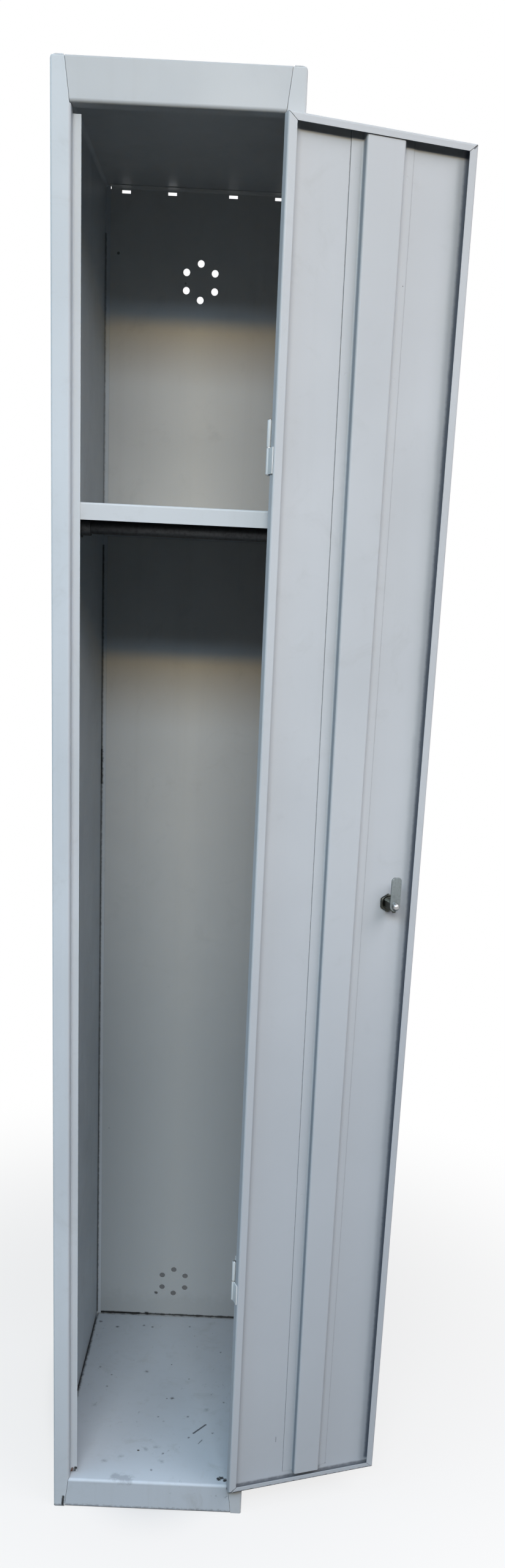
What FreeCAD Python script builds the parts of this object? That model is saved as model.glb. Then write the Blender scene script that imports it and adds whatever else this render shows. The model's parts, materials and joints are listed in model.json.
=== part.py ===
import FreeCAD, Part
import math
import os

# Tall single-door steel locker, folded from sheet, shown with its door swung wide open.
# Millimetres. X runs to the right, Y runs from the front to the back, Z is up.
# The origin is on the floor, in the middle of the plinth's folded foot.

Vector = FreeCAD.Vector

# Cabinet
HEIGHT = 1800.0
WIDTH = 270.0
DEPTH = 450.0
SHEET = 0.8
BEND = 1.6
EDGE_BEND = 3.2
LAP = 0.1

# Front frame around the door opening
FACE_WIDTH = 22.0
HEADER_HEIGHT = 44.0
PLINTH_HEIGHT = 46.0
REBATE_DEPTH = 16.0
HEADER_RETURN = 17.0
STOP_WIDTH = 9.0
STOP_TOP_CLEAR = 6.0
STOP_FOOT_CLEAR = 1.5
SEAM_INSET = 1.5
SEAM_TAPER = 5.5
SEAM_GAP = 0.4
FOOT_DEPTH = 20.0

# Folded edges of the panels
TOP_RADIUS = 6.0
TOP_FLANGE = 14.0
TOP_FLANGE_SETBACK = 2.5
REAR_FLANGE = 8.0
BACK_INSET = 1.0
BACK_FLANGE = 14.0
BASE_FLANGE = 18.0
FLANGE_SETBACK = 26.0

# Ventilation of the back panel
VENT_HOLE = 9.5
VENT_RADIUS = 23.0
VENT_COUNT = 6
VENT_FROM_END = 114.0
SLOT_LENGTH = 12.0
SLOT_HEIGHT = 4.0
SLOT_FROM_TOP = 7.0
SLOT_PITCH_INNER = 84.0
SLOT_PITCH_OUTER = 211.0

# Hat shelf and hanging rail
SHELF_TOP = 1362.5
SHELF_FLANGE = 19.0
RAIL_DROP = 17.0
RAIL_DIAMETER = 18.0
RAIL_WALL = 1.2
RAIL_FIT = 0.1
SOCKET_FLANGE = 28.0
SOCKET_FLANGE_THICK = 1.5
SOCKET_HUB_WALL = 2.2
SOCKET_HUB_LENGTH = 13.0

# Door
DOOR_DEPTH = 14.0
HINGE_GAP = 2.0
LATCH_GAP = 2.0
DOOR_TOP_GAP = 3.5
DOOR_BOTTOM_GAP = 2.7
SIDE_RETURN = 10.0
END_RETURN = 8.0
MITRE_GAP = 0.5
STIFFENER_WEB = 45.7
STIFFENER_TAPER = 7.9
STIFFENER_OFFSET = 2.6
STIFFENER_FLANGE = 14.0
STIFFENER_DEPTH = 11.4
STIFFENER_TUCK = 3.0
STIFFENER_FOOT_CLEAR = 3.5
OPEN_ANGLE = 199.7

# Hinges
UPPER_HINGE_HEIGHT = 1428.0
LOWER_HINGE_HEIGHT = 379.0
HINGE_PROUD = 4.0
BARREL_RADIUS = 3.0
BARREL_LENGTH = 28.0
LEAF_THICK = 1.4
LEAF_DEPTH = 12.0
PIN_RADIUS = 1.5
PIN_RUNNING_FIT = 0.05
PIN_SEAT_FIT = 0.02
PIN_HEAD_RADIUS = 2.5
PIN_HEAD_HEIGHT = 1.3
WASHER_RADIUS = 3.3
WASHER_THICK = 0.7
AXIAL_GAP = 0.12

# Cam lock
LOCK_HEIGHT = 900.0
LOCK_FROM_EDGE = 37.0
BEZEL_RADIUS = 10.0
BEZEL_THICK = 2.2
BODY_RADIUS = 8.0
BODY_FLATS = 13.0
BODY_LENGTH = 21.5
BODY_HOLE_FIT = 0.2
NUT_FLATS = 20.0
NUT_THICK = 4.5
PLUG_RADIUS = 5.5
PLUG_FIT = 0.05
PLUG_HEAD_RADIUS = 6.8
PLUG_HEAD_SINK = 1.4
KEYWAY_WIDTH = 1.8
KEYWAY_HEIGHT = 7.0
KEYWAY_DEPTH = 17.0
WAFER_COUNT = 5
WAFER_THICK = 0.7
WAFER_WIDTH = 4.2
WAFER_HEIGHT = 9.8
WAFER_PITCH = 2.2
WAFER_START = 5.0
WAFER_FIT = 0.1
TAIL_SQUARE = 6.5
TAIL_FIT = 0.06
STUD_RADIUS = 2.5
STUD_LENGTH = 3.4
STOP_PLATE_RADIUS = 7.0
STOP_PLATE_THICK = 1.2
STOP_TAB = 2.2
CAM_REACH = 37.0
CAM_WIDTH = 13.5
CAM_THICK = 2.2
CAM_TIP_RADIUS = 5.0
CAM_NUT_FLATS = 8.0
CAM_NUT_HEIGHT = 2.6
CAM_NUT_DOME_RADIUS = 4.3
CAM_NUT_DOME_HEIGHT = 3.6

# Lengths that follow from the sizes above
HALF_SHEET = SHEET / 2
HALF_WIDTH = WIDTH / 2
OPENING_TOP = HEIGHT - HEADER_HEIGHT
OPENING_BOTTOM = PLINTH_HEIGHT
RAIL_HEIGHT = SHELF_TOP - RAIL_DROP
OUTER_BEND = BEND + SHEET
REAR_FLANGE_Y = DEPTH - SHEET - LAP - HALF_SHEET
INNER_REAR_Y = REAR_FLANGE_Y - SHEET - LAP
WALL_FLANGE_X = HALF_WIDTH - SHEET - LAP - HALF_SHEET
PANEL_FLAT_X = HALF_WIDTH - SHEET - LAP - OUTER_BEND
SOCKET_FACE_X = WALL_FLANGE_X - HALF_SHEET - LAP
TOP_SHEET_Z = HEIGHT - SHEET - LAP - HALF_SHEET
FLOOR_SHEET_Z = OPENING_BOTTOM - HALF_SHEET
FRONT_RELIEF = EDGE_BEND + SHEET + LAP
SEAM_AT_OPENING = FACE_WIDTH - SEAM_INSET
SEAM_AT_END = SEAM_AT_OPENING - SEAM_TAPER
HINGE_X = HALF_WIDTH - FACE_WIDTH - HINGE_GAP
HINGE_AXIS = Vector(HINGE_X, -HINGE_PROUD, 0)
DOOR_LEFT = -HALF_WIDTH + FACE_WIDTH + LATCH_GAP
DOOR_RIGHT = HINGE_X
DOOR_BOTTOM = OPENING_BOTTOM + DOOR_BOTTOM_GAP
DOOR_TOP = OPENING_TOP - DOOR_TOP_GAP
LOCK_X = DOOR_LEFT + LOCK_FROM_EDGE
WASHER_GAP = WASHER_THICK + 2 * AXIAL_GAP
TAIL_START = BODY_LENGTH + AXIAL_GAP
STOP_PLATE_START = TAIL_START
CAM_START = STOP_PLATE_START + STOP_PLATE_THICK + LAP
CAM_END = CAM_START + CAM_THICK
CAM_NUT_START = CAM_END + LAP
ORIGIN_SHIFT = Vector(0, -FOOT_DEPTH / 2, 0)


# Flat sections and prisms

def polygon(points):
    """Face bounded by straight lines through (u, v) points."""
    corners = [Vector(u, v, 0) for u, v in points]
    return Part.Face(Part.makePolygon(corners + corners[:1]))


def left_normal(direction):
    """Unit vector a quarter turn anticlockwise from a direction."""
    return Vector(-direction.y, direction.x, 0)


def folded_section(points, inside_radii):
    """Face of a sheet folded along a middle line, with an inside radius at each inner point."""
    path = [Vector(u, v, 0) for u, v in points]
    directions = [(end - start).normalize() for start, end in zip(path, path[1:])]
    edges = []
    for side in (1, -1):
        offset = side * HALF_SHEET
        last = path[0] + left_normal(directions[0]) * offset
        for corner, before, after, inside in zip(path[1:], directions, directions[1:], inside_radii):
            turn = 1 if before.cross(after).z > 0 else -1
            middle = inside + HALF_SHEET
            trim = middle * math.tan(before.getAngle(after) / 2)
            centre = corner - before * trim + left_normal(before) * (turn * middle)
            bulge = (corner - centre).normalize() * (middle - turn * offset)
            arc_start = corner - before * trim + left_normal(before) * offset
            arc_end = corner + after * trim + left_normal(after) * offset
            edges.append(Part.makeLine(last, arc_start))
            edges.append(Part.Arc(arc_start, centre + bulge, arc_end).toShape())
            last = arc_end
        edges.append(Part.makeLine(last, path[-1] + left_normal(directions[-1]) * offset))
    for end, direction in ((path[0], directions[0]), (path[-1], directions[-1])):
        edges.append(Part.makeLine(end + left_normal(direction) * HALF_SHEET,
                                   end - left_normal(direction) * HALF_SHEET))
    return Part.Face(Part.Wire(Part.__sortEdges__(edges)))


def plan_prism(face, low, high):
    """Section drawn in (x, y), drawn out along Z."""
    solid = face.extrude(Vector(0, 0, high - low))
    solid.translate(Vector(0, 0, low))
    return solid


def side_prism(face, low, high):
    """Section drawn in (y, z), drawn out along X."""
    solid = plan_prism(face, low, high)
    solid.rotate(Vector(), Vector(1, 1, 1), 120)
    return solid


def front_prism(face, low, high):
    """Section drawn in (x, z), drawn out along Y."""
    solid = plan_prism(face, -high, -low)
    solid.rotate(Vector(), Vector(1, 0, 0), 90)
    return solid


def box(low, high):
    """Block between two opposite corners."""
    low_corner = Vector(*low)
    size = Vector(*high) - low_corner
    return Part.makeBox(size.x, size.y, size.z, low_corner)


def upright_cylinder(radius, low, high, x=0.0, y=0.0):
    """Round bar standing along Z."""
    return Part.makeCylinder(radius, high - low, Vector(x, y, low))


def depth_cylinder(radius, low, high, x=0.0, z=0.0):
    """Round bar lying along Y."""
    return Part.makeCylinder(radius, high - low, Vector(x, low, z), Vector(0, 1, 0))


def hexagon(flats):
    """Regular hexagon, point up, given the distance across its flats."""
    corner = flats / math.sqrt(3)
    angles = [math.radians(60 * step + 90) for step in range(6)]
    return polygon([(corner * math.cos(angle), corner * math.sin(angle)) for angle in angles])


def joined(shape, *others):
    """One solid made of pieces of the same sheet."""
    return shape.fuse(list(others)).removeSplitter().Solids[0]


def mirrored(shape):
    """Copy on the other side of the cabinet's middle plane."""
    return shape.mirror(Vector(), Vector(1, 0, 0))


# Cabinet panels

def seam_wedge(end_z, opening_z, margin):
    """Outline, from the left outer edge inwards, of what the header or plinth takes from an upright."""
    far = FACE_WIDTH + STOP_WIDTH + margin
    beyond = end_z + math.copysign(margin, end_z - opening_z)
    return polygon([(SEAM_AT_OPENING, opening_z), (SEAM_AT_END, end_z), (SEAM_AT_END, beyond),
                    (far, beyond), (far, opening_z)])


def outer_wedge(end_z, opening_z, low_z, high_z):
    """Prism outline outside the left seam, with the seam gap, between two heights."""
    def seam_x(z):
        share = (z - opening_z) / (end_z - opening_z)
        return -HALF_WIDTH + SEAM_AT_OPENING - SEAM_TAPER * share + SEAM_GAP
    outside = -HALF_WIDTH - SHEET
    return polygon([(seam_x(low_z), low_z), (seam_x(high_z), high_z), (outside, high_z), (outside, low_z)])


def header_edge():
    """Outline, from the side, of what lies in front of the header's rounded top edge."""
    roof_z = TOP_SHEET_Z + HALF_SHEET
    beyond_z = HEIGHT + SHEET
    bulge = OUTER_BEND * (1 - math.sqrt(0.5))
    round_start = Vector(0, roof_z - OUTER_BEND, 0)
    round_end = Vector(OUTER_BEND, roof_z, 0)
    rest = [round_end, Vector(TOP_FLANGE_SETBACK, roof_z, 0), Vector(TOP_FLANGE_SETBACK, beyond_z, 0),
            Vector(-SHEET, beyond_z, 0), Vector(-SHEET, roof_z - OUTER_BEND, 0), round_start]
    edges = [Part.Arc(round_start, Vector(bulge, roof_z - bulge, 0), round_end).toShape()]
    edges += [Part.makeLine(start, end) for start, end in zip(rest, rest[1:])]
    return Part.Face(Part.Wire(edges))


def side_panel(has_stop):
    """Left side sheet with its rear flange, front face, rebate wall and stop flange."""
    stop_y = REBATE_DEPTH + HALF_SHEET
    wall_x = FACE_WIDTH - HALF_SHEET
    path = [(REAR_FLANGE, REAR_FLANGE_Y), (HALF_SHEET, REAR_FLANGE_Y), (HALF_SHEET, HALF_SHEET),
            (wall_x, HALF_SHEET), (wall_x, stop_y)]
    radii = [BEND, BEND, EDGE_BEND]
    if has_stop:
        path.append((FACE_WIDTH + STOP_WIDTH, stop_y))
        radii.append(BEND)
    panel = plan_prism(folded_section(path, radii), 0, HEIGHT)

    inboard = FACE_WIDTH + STOP_WIDTH + SHEET
    silhouette = Part.Face(Part.Wire([
        Part.makeLine(Vector(0, 0, 0), Vector(0, HEIGHT - TOP_RADIUS, 0)),
        Part.Arc(Vector(0, HEIGHT - TOP_RADIUS, 0),
                 Vector(TOP_RADIUS * (1 - math.sqrt(0.5)), HEIGHT - TOP_RADIUS * (1 - math.sqrt(0.5)), 0),
                 Vector(TOP_RADIUS, HEIGHT, 0)).toShape(),
        Part.makeLine(Vector(TOP_RADIUS, HEIGHT, 0), Vector(inboard, HEIGHT, 0)),
        Part.makeLine(Vector(inboard, HEIGHT, 0), Vector(inboard, 0, 0)),
        Part.makeLine(Vector(inboard, 0, 0), Vector(0, 0, 0))]))
    panel = panel.common(front_prism(silhouette, -SHEET, DEPTH))
    panel = panel.cut(side_prism(header_edge(), -SHEET, inboard))

    notch_back = REBATE_DEPTH + 2 * SHEET
    header_notch = front_prism(seam_wedge(HEIGHT, OPENING_TOP - SEAM_GAP, SHEET), -SHEET, notch_back)
    plinth_notch = front_prism(seam_wedge(0, OPENING_BOTTOM + SEAM_GAP, SHEET), -SHEET, notch_back)
    stop_root = (FACE_WIDTH - SHEET - LAP, REBATE_DEPTH - BEND)
    stop_head = box((*stop_root, OPENING_TOP - STOP_TOP_CLEAR), (inboard, notch_back, HEIGHT))
    stop_foot = box((*stop_root, 0), (inboard, notch_back, OPENING_BOTTOM + STOP_FOOT_CLEAR))
    panel = panel.cut([header_notch, plinth_notch, stop_head, stop_foot])

    flange_path = [(HALF_SHEET, HEIGHT - 2 * TOP_RADIUS), (HALF_SHEET, HEIGHT - HALF_SHEET),
                   (TOP_FLANGE, HEIGHT - HALF_SHEET)]
    flange = front_prism(folded_section(flange_path, [TOP_RADIUS - SHEET]),
                         TOP_FLANGE_SETBACK, DEPTH - TOP_FLANGE_SETBACK)
    panel = joined(panel, flange)
    panel.translate(Vector(-HALF_WIDTH, 0, 0))
    return panel


def top_panel():
    """Roof sheet that folds down into the header and back under it."""
    return_z = OPENING_TOP + HALF_SHEET
    path = [(HEADER_RETURN, return_z), (HALF_SHEET, return_z), (HALF_SHEET, TOP_SHEET_Z),
            (DEPTH, TOP_SHEET_Z)]
    reach = HALF_WIDTH - TOP_RADIUS
    panel = side_prism(folded_section(path, [EDGE_BEND, BEND]), -reach, reach)

    roof_zone = HEIGHT - FRONT_RELIEF - SHEET
    cheek = front_prism(outer_wedge(HEIGHT, OPENING_TOP, OPENING_TOP - SHEET, roof_zone),
                        -SHEET, HEADER_RETURN + SHEET)
    corner = front_prism(outer_wedge(HEIGHT, OPENING_TOP, roof_zone, HEIGHT), -SHEET, FRONT_RELIEF)
    rear_notch_x = HALF_WIDTH - REAR_FLANGE - BACK_INSET
    rear_notch = box((-HALF_WIDTH, REAR_FLANGE_Y - OUTER_BEND - LAP, OPENING_TOP),
                     (-rear_notch_x, DEPTH + SHEET, HEIGHT))
    left_cuts = [cheek, corner, rear_notch]
    return panel.cut(left_cuts + [mirrored(cut) for cut in left_cuts]).Solids[0]


def base_panel():
    """Floor sheet that folds down into the plinth and its foot, with flanges on the other edges."""
    path = [(FOOT_DEPTH, HALF_SHEET), (HALF_SHEET, HALF_SHEET), (HALF_SHEET, FLOOR_SHEET_Z),
            (INNER_REAR_Y, FLOOR_SHEET_Z), (INNER_REAR_Y, FLOOR_SHEET_Z - BASE_FLANGE)]
    panel = side_prism(folded_section(path, [BEND, EDGE_BEND, BEND]), -PANEL_FLAT_X, PANEL_FLAT_X)
    panel = joined(panel, side_flanges(FLOOR_SHEET_Z, BASE_FLANGE, FLANGE_SETBACK))

    floor_zone = OPENING_BOTTOM - FRONT_RELIEF - SHEET
    cheek = front_prism(outer_wedge(0, OPENING_BOTTOM, -SHEET, floor_zone), -SHEET, FOOT_DEPTH + SHEET)
    corner = front_prism(outer_wedge(0, OPENING_BOTTOM, floor_zone, OPENING_BOTTOM + SHEET),
                         -SHEET, FRONT_RELIEF)
    return panel.cut([cheek, corner, mirrored(cheek), mirrored(corner)]).Solids[0]


def side_flanges(sheet_z, depth, setback):
    """Sheet across the cabinet with both side edges folded down along the walls."""
    path = [(-WALL_FLANGE_X, sheet_z - depth), (-WALL_FLANGE_X, sheet_z),
            (WALL_FLANGE_X, sheet_z), (WALL_FLANGE_X, sheet_z - depth)]
    return front_prism(folded_section(path, [BEND, BEND]), setback, INNER_REAR_Y - setback)


def hat_shelf():
    """Shelf tray with a lip folded down on every edge."""
    sheet_z = SHELF_TOP - HALF_SHEET
    lip_z = SHELF_TOP - SHELF_FLANGE
    front_y = REBATE_DEPTH + SHEET + LAP + HALF_SHEET
    path = [(front_y, lip_z), (front_y, sheet_z), (INNER_REAR_Y, sheet_z), (INNER_REAR_Y, lip_z)]
    tray = side_prism(folded_section(path, [BEND, BEND]), -PANEL_FLAT_X, PANEL_FLAT_X)
    return joined(tray, side_flanges(sheet_z, sheet_z - lip_z, FLANGE_SETBACK))


def vent_group(height):
    """Ring of round holes through the back panel, one of them straight above the middle."""
    angles = [2 * math.pi * step / VENT_COUNT for step in range(VENT_COUNT)]
    return [depth_cylinder(VENT_HOLE / 2, DEPTH - 2 * SHEET, DEPTH + SHEET,
                           VENT_RADIUS * math.sin(angle), height + VENT_RADIUS * math.cos(angle))
            for angle in angles]


def vent_slot(x):
    """Short level slot through the back panel, just under the roof."""
    centre_z = HEIGHT - SLOT_FROM_TOP
    return box((x - SLOT_LENGTH / 2, DEPTH - 2 * SHEET, centre_z - SLOT_HEIGHT / 2),
               (x + SLOT_LENGTH / 2, DEPTH + SHEET, centre_z + SLOT_HEIGHT / 2))


def back_panel():
    """Back sheet with a top flange under the roof, two rings of vent holes and a row of slots."""
    flange_z = TOP_SHEET_Z - SHEET - LAP
    path = [(DEPTH - HALF_SHEET, 0), (DEPTH - HALF_SHEET, flange_z), (DEPTH - BACK_FLANGE, flange_z)]
    reach = HALF_WIDTH - BACK_INSET
    panel = side_prism(folded_section(path, [BEND]), -reach, reach)
    ear_z = flange_z + HALF_SHEET - OUTER_BEND
    ear = box((-HALF_WIDTH, DEPTH - BACK_FLANGE - SHEET, ear_z),
              (-HALF_WIDTH + REAR_FLANGE + BACK_INSET, DEPTH + SHEET, HEIGHT))
    cuts = [ear, mirrored(ear)]
    cuts += vent_group(VENT_FROM_END) + vent_group(HEIGHT - VENT_FROM_END)
    for pitch in (SLOT_PITCH_INNER, SLOT_PITCH_OUTER):
        cuts += [vent_slot(-pitch / 2), vent_slot(pitch / 2)]
    return panel.cut(cuts).Solids[0]


# Hanging rail

def rail_socket():
    """Pressed cup on the shelf's left flange, open towards the rail."""
    bore = RAIL_DIAMETER / 2 + RAIL_FIT
    hub = bore + SOCKET_HUB_WALL
    profile = polygon([(0, 0), (SOCKET_FLANGE / 2, 0), (SOCKET_FLANGE / 2, SOCKET_FLANGE_THICK),
                       (hub, SOCKET_FLANGE_THICK), (hub, SOCKET_HUB_LENGTH), (bore, SOCKET_HUB_LENGTH),
                       (bore, SOCKET_FLANGE_THICK), (0, SOCKET_FLANGE_THICK)])
    cup = profile.revolve(Vector(), Vector(0, 1, 0), 360)
    cup.rotate(Vector(), Vector(0, 0, 1), -90)
    cup.translate(Vector(-SOCKET_FACE_X, DEPTH / 2, RAIL_HEIGHT))
    return cup


def hanging_rail():
    """Tube from the bottom of one socket to the bottom of the other."""
    reach = SOCKET_FACE_X - SOCKET_FLANGE_THICK - LAP
    start = Vector(-reach, DEPTH / 2, RAIL_HEIGHT)
    along = Vector(1, 0, 0)
    tube = Part.makeCylinder(RAIL_DIAMETER / 2, 2 * reach, start, along)
    return tube.cut(Part.makeCylinder(RAIL_DIAMETER / 2 - RAIL_WALL, 2 * reach, start, along))


# Hinges, drawn with the axis upright at the hinge line

def barrel(bore, low, high):
    """Rolled knuckle around the hinge line."""
    ring = upright_cylinder(BARREL_RADIUS, low, high, HINGE_AXIS.x, HINGE_AXIS.y)
    return ring.cut(upright_cylinder(bore, low, high, HINGE_AXIS.x, HINGE_AXIS.y))


def leaf(bore, plate_left, low, high):
    """Knuckle with a flat plate that runs back from it along a wall."""
    root_y = HINGE_AXIS.y + (PIN_RADIUS + BARREL_RADIUS) / 2
    plate = box((plate_left, root_y, low), (plate_left + LEAF_THICK, LEAF_DEPTH, high))
    plate = plate.cut(upright_cylinder(bore, low, high, HINGE_AXIS.x, HINGE_AXIS.y))
    return joined(barrel(bore, low, high), plate)


def frame_leaf(height):
    """Upper half of a hinge, fast on the wall of the opening."""
    low = height + WASHER_GAP / 2
    plate_left = HALF_WIDTH - FACE_WIDTH - LAP - LEAF_THICK
    return leaf(PIN_RADIUS + PIN_SEAT_FIT, plate_left, low, low + BARREL_LENGTH)


def door_leaf(height):
    """Lower half of a hinge, fast on the edge of the door."""
    high = height - WASHER_GAP / 2
    return leaf(PIN_RADIUS + PIN_RUNNING_FIT, DOOR_RIGHT + LAP, high - BARREL_LENGTH, high)


def hinge_washer(height):
    """Thin washer between the two knuckles."""
    low = height - WASHER_THICK / 2
    ring = upright_cylinder(WASHER_RADIUS, low, low + WASHER_THICK, HINGE_AXIS.x, HINGE_AXIS.y)
    bore = upright_cylinder(PIN_RADIUS + PIN_RUNNING_FIT, low, low + WASHER_THICK, HINGE_AXIS.x, HINGE_AXIS.y)
    return ring.cut(bore)


def hinge_pin(height):
    """Riveted pin with a low domed head at each end."""
    reach = WASHER_GAP / 2 + BARREL_LENGTH + AXIAL_GAP
    tip = reach + PIN_HEAD_HEIGHT
    shoulder = reach + PIN_HEAD_HEIGHT / 3
    dome_middle = Vector(PIN_HEAD_RADIUS * 0.62, reach + PIN_HEAD_HEIGHT * 0.82, 0)
    points = [Vector(0, tip, 0), Vector(PIN_HEAD_RADIUS, shoulder, 0), Vector(PIN_HEAD_RADIUS, reach, 0),
              Vector(PIN_RADIUS, reach, 0), Vector(PIN_RADIUS, 0, 0), Vector(0, 0, 0)]
    edges = [Part.Arc(points[0], dome_middle, points[1]).toShape()]
    edges += [Part.makeLine(start, end) for start, end in zip(points[1:], points[2:] + points[:1])]
    half = Part.Face(Part.Wire(edges)).revolve(Vector(), Vector(0, 1, 0), 360)
    half.rotate(Vector(), Vector(1, 0, 0), 90)
    pin = joined(half, half.mirror(Vector(), Vector(0, 0, 1)))
    pin.translate(Vector(HINGE_AXIS.x, HINGE_AXIS.y, height))
    return pin


# Door, drawn closed

def door_panel():
    """Folded tray of the door, with mitred returns and the lock's hole."""
    outer = box((DOOR_LEFT, 0, DOOR_BOTTOM), (DOOR_RIGHT, DOOR_DEPTH, DOOR_TOP))
    level_edges = [edge for edge in outer.Edges if abs(edge.tangentAt(edge.FirstParameter).y) < 0.5]
    outer = outer.makeFillet(OUTER_BEND, level_edges)
    inner = box((DOOR_LEFT + SHEET, SHEET, DOOR_BOTTOM + SHEET),
                (DOOR_RIGHT - SHEET, DOOR_DEPTH - SHEET, DOOR_TOP - SHEET))
    inner_edges = [edge for edge in inner.Edges if abs(edge.tangentAt(edge.FirstParameter).y) < 0.5]
    inner = inner.makeFillet(BEND, inner_edges)
    mouth = box((DOOR_LEFT + SIDE_RETURN, DOOR_DEPTH / 2, DOOR_BOTTOM + END_RETURN),
                (DOOR_RIGHT - SIDE_RETURN, DOOR_DEPTH + SHEET, DOOR_TOP - END_RETURN))
    tray = outer.cut([inner, mouth] + mitre_slits() + [lock_body(-SHEET, DOOR_DEPTH / 2, BODY_HOLE_FIT)])
    return tray.Solids[0]


def mitre_slits():
    """Narrow diagonal gaps where the returns meet at the four corners."""
    slits = []
    length = math.hypot(SIDE_RETURN, END_RETURN)
    slope = math.degrees(math.atan2(END_RETURN, SIDE_RETURN))
    for x, across in ((DOOR_LEFT, 1), (DOOR_RIGHT, -1)):
        for z, up in ((DOOR_BOTTOM, 1), (DOOR_TOP, -1)):
            slit = box((-length, DOOR_DEPTH - OUTER_BEND, -MITRE_GAP / 2),
                       (length, DOOR_DEPTH + SHEET, MITRE_GAP / 2))
            slit.rotate(Vector(), Vector(0, 1, 0), -slope * across * up)
            slit.translate(Vector(x + across * SIDE_RETURN / 2, 0, z + up * END_RETURN / 2))
            slits.append(slit)
    return slits


def door_stiffener():
    """Hat-section stiffener down the door, narrowing to its foot on the hinge side."""
    foot_z = DOOR_BOTTOM + END_RETURN + STIFFENER_FOOT_CLEAR
    head_z = DOOR_TOP - END_RETURN + STIFFENER_TUCK
    foot = stiffener_outline(STIFFENER_TAPER).translated(Vector(0, 0, foot_z))
    head = stiffener_outline(0).translated(Vector(0, 0, head_z))
    return Part.makeLoft([foot, head], True, True).Solids[0]


def stiffener_outline(taper):
    """Outline of the stiffener's folded section where its web is narrower by the taper."""
    latch_edge = (DOOR_LEFT + DOOR_RIGHT - STIFFENER_WEB) / 2 - STIFFENER_OFFSET
    hinge_edge = latch_edge + STIFFENER_WEB - taper
    flange_y = SHEET + LAP + HALF_SHEET
    web_y = flange_y + STIFFENER_DEPTH - SHEET
    path = [(latch_edge - STIFFENER_FLANGE, flange_y), (latch_edge + HALF_SHEET, flange_y),
            (latch_edge + HALF_SHEET, web_y), (hinge_edge - HALF_SHEET, web_y),
            (hinge_edge - HALF_SHEET, flange_y), (hinge_edge + STIFFENER_FLANGE, flange_y)]
    return folded_section(path, [BEND] * 4).OuterWire


# Cam lock, drawn on the closed door

def lock_body(low, high, clearance):
    """Round bar with two flats, on the lock's line."""
    bar = depth_cylinder(BODY_RADIUS + clearance, low, high, LOCK_X, LOCK_HEIGHT)
    half_flats = BODY_FLATS / 2 + clearance
    reach = BODY_RADIUS + 1
    return bar.common(box((LOCK_X - half_flats, low, LOCK_HEIGHT - reach),
                          (LOCK_X + half_flats, high, LOCK_HEIGHT + reach)))


def lock_housing():
    """Body with a round bezel outside the door and a bore for the plug."""
    bezel = depth_cylinder(BEZEL_RADIUS, -BEZEL_THICK, -LAP, LOCK_X, LOCK_HEIGHT)
    front_rim = [edge for edge in bezel.Edges if edge.BoundBox.YMax < -BEZEL_THICK + LAP]
    bezel = bezel.makeFillet(BEZEL_THICK / 2, front_rim)
    body = joined(bezel, lock_body(-LAP, BODY_LENGTH, 0))
    bore = depth_cylinder(PLUG_RADIUS + PLUG_FIT, -BEZEL_THICK - LAP, BODY_LENGTH + LAP, LOCK_X, LOCK_HEIGHT)
    seat = depth_cylinder(PLUG_HEAD_RADIUS + PLUG_FIT, -BEZEL_THICK - LAP,
                          -BEZEL_THICK + PLUG_HEAD_SINK + AXIAL_GAP, LOCK_X, LOCK_HEIGHT)
    return body.cut([bore, seat])


def lock_nut():
    """Hexagon nut that clamps the housing to the inside of the door."""
    low = SHEET + LAP
    nut = front_prism(hexagon(NUT_FLATS), low, low + NUT_THICK)
    nut.translate(Vector(LOCK_X, 0, LOCK_HEIGHT))
    return nut.cut(depth_cylinder(BODY_RADIUS + LAP, low, low + NUT_THICK, LOCK_X, LOCK_HEIGHT))


def on_lock_line(section, low, high):
    """Section drawn around the lock's line, drawn out along it."""
    solid = front_prism(section, low, high)
    solid.translate(Vector(LOCK_X, 0, LOCK_HEIGHT))
    return solid


def square(size):
    """Square around the origin."""
    half = size / 2
    return polygon([(-half, -half), (half, -half), (half, half), (-half, half)])


def slab(width, height):
    """Rectangle around the origin."""
    return polygon([(-width / 2, -height / 2), (width / 2, -height / 2),
                    (width / 2, height / 2), (-width / 2, height / 2)])


def wafer_starts():
    """Distance of each wafer's slot behind the plug's face."""
    return [-BEZEL_THICK + WAFER_START + step * WAFER_PITCH for step in range(WAFER_COUNT)]


def lock_plug():
    """Turning plug with a keyway, wafer slots, a squared tail and a stud."""
    head = depth_cylinder(PLUG_HEAD_RADIUS, -BEZEL_THICK, -BEZEL_THICK + PLUG_HEAD_SINK, LOCK_X, LOCK_HEIGHT)
    stem = depth_cylinder(PLUG_RADIUS, -BEZEL_THICK, TAIL_START, LOCK_X, LOCK_HEIGHT)
    tail = on_lock_line(square(TAIL_SQUARE), TAIL_START, CAM_END)
    stud = depth_cylinder(STUD_RADIUS, CAM_END, CAM_END + STUD_LENGTH, LOCK_X, LOCK_HEIGHT)
    plug = joined(head, stem, tail, stud)
    cuts = [on_lock_line(slab(KEYWAY_WIDTH, KEYWAY_HEIGHT), -BEZEL_THICK - LAP, -BEZEL_THICK + KEYWAY_DEPTH)]
    for start in wafer_starts():
        slot = slab(WAFER_WIDTH + 2 * WAFER_FIT, 2 * PLUG_RADIUS + LAP)
        cuts.append(on_lock_line(slot, start - WAFER_FIT, start + WAFER_THICK + WAFER_FIT))
    return plug.cut(cuts).Solids[0]


def lock_wafers():
    """Row of flat wafers in the plug, each with a window for the key."""
    plates = []
    for start in wafer_starts():
        plate = on_lock_line(slab(WAFER_WIDTH, WAFER_HEIGHT), start, start + WAFER_THICK)
        window = on_lock_line(slab(KEYWAY_WIDTH, KEYWAY_HEIGHT), start, start + WAFER_THICK)
        plates.append(plate.cut(window))
    return Part.makeCompound(plates)


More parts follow.
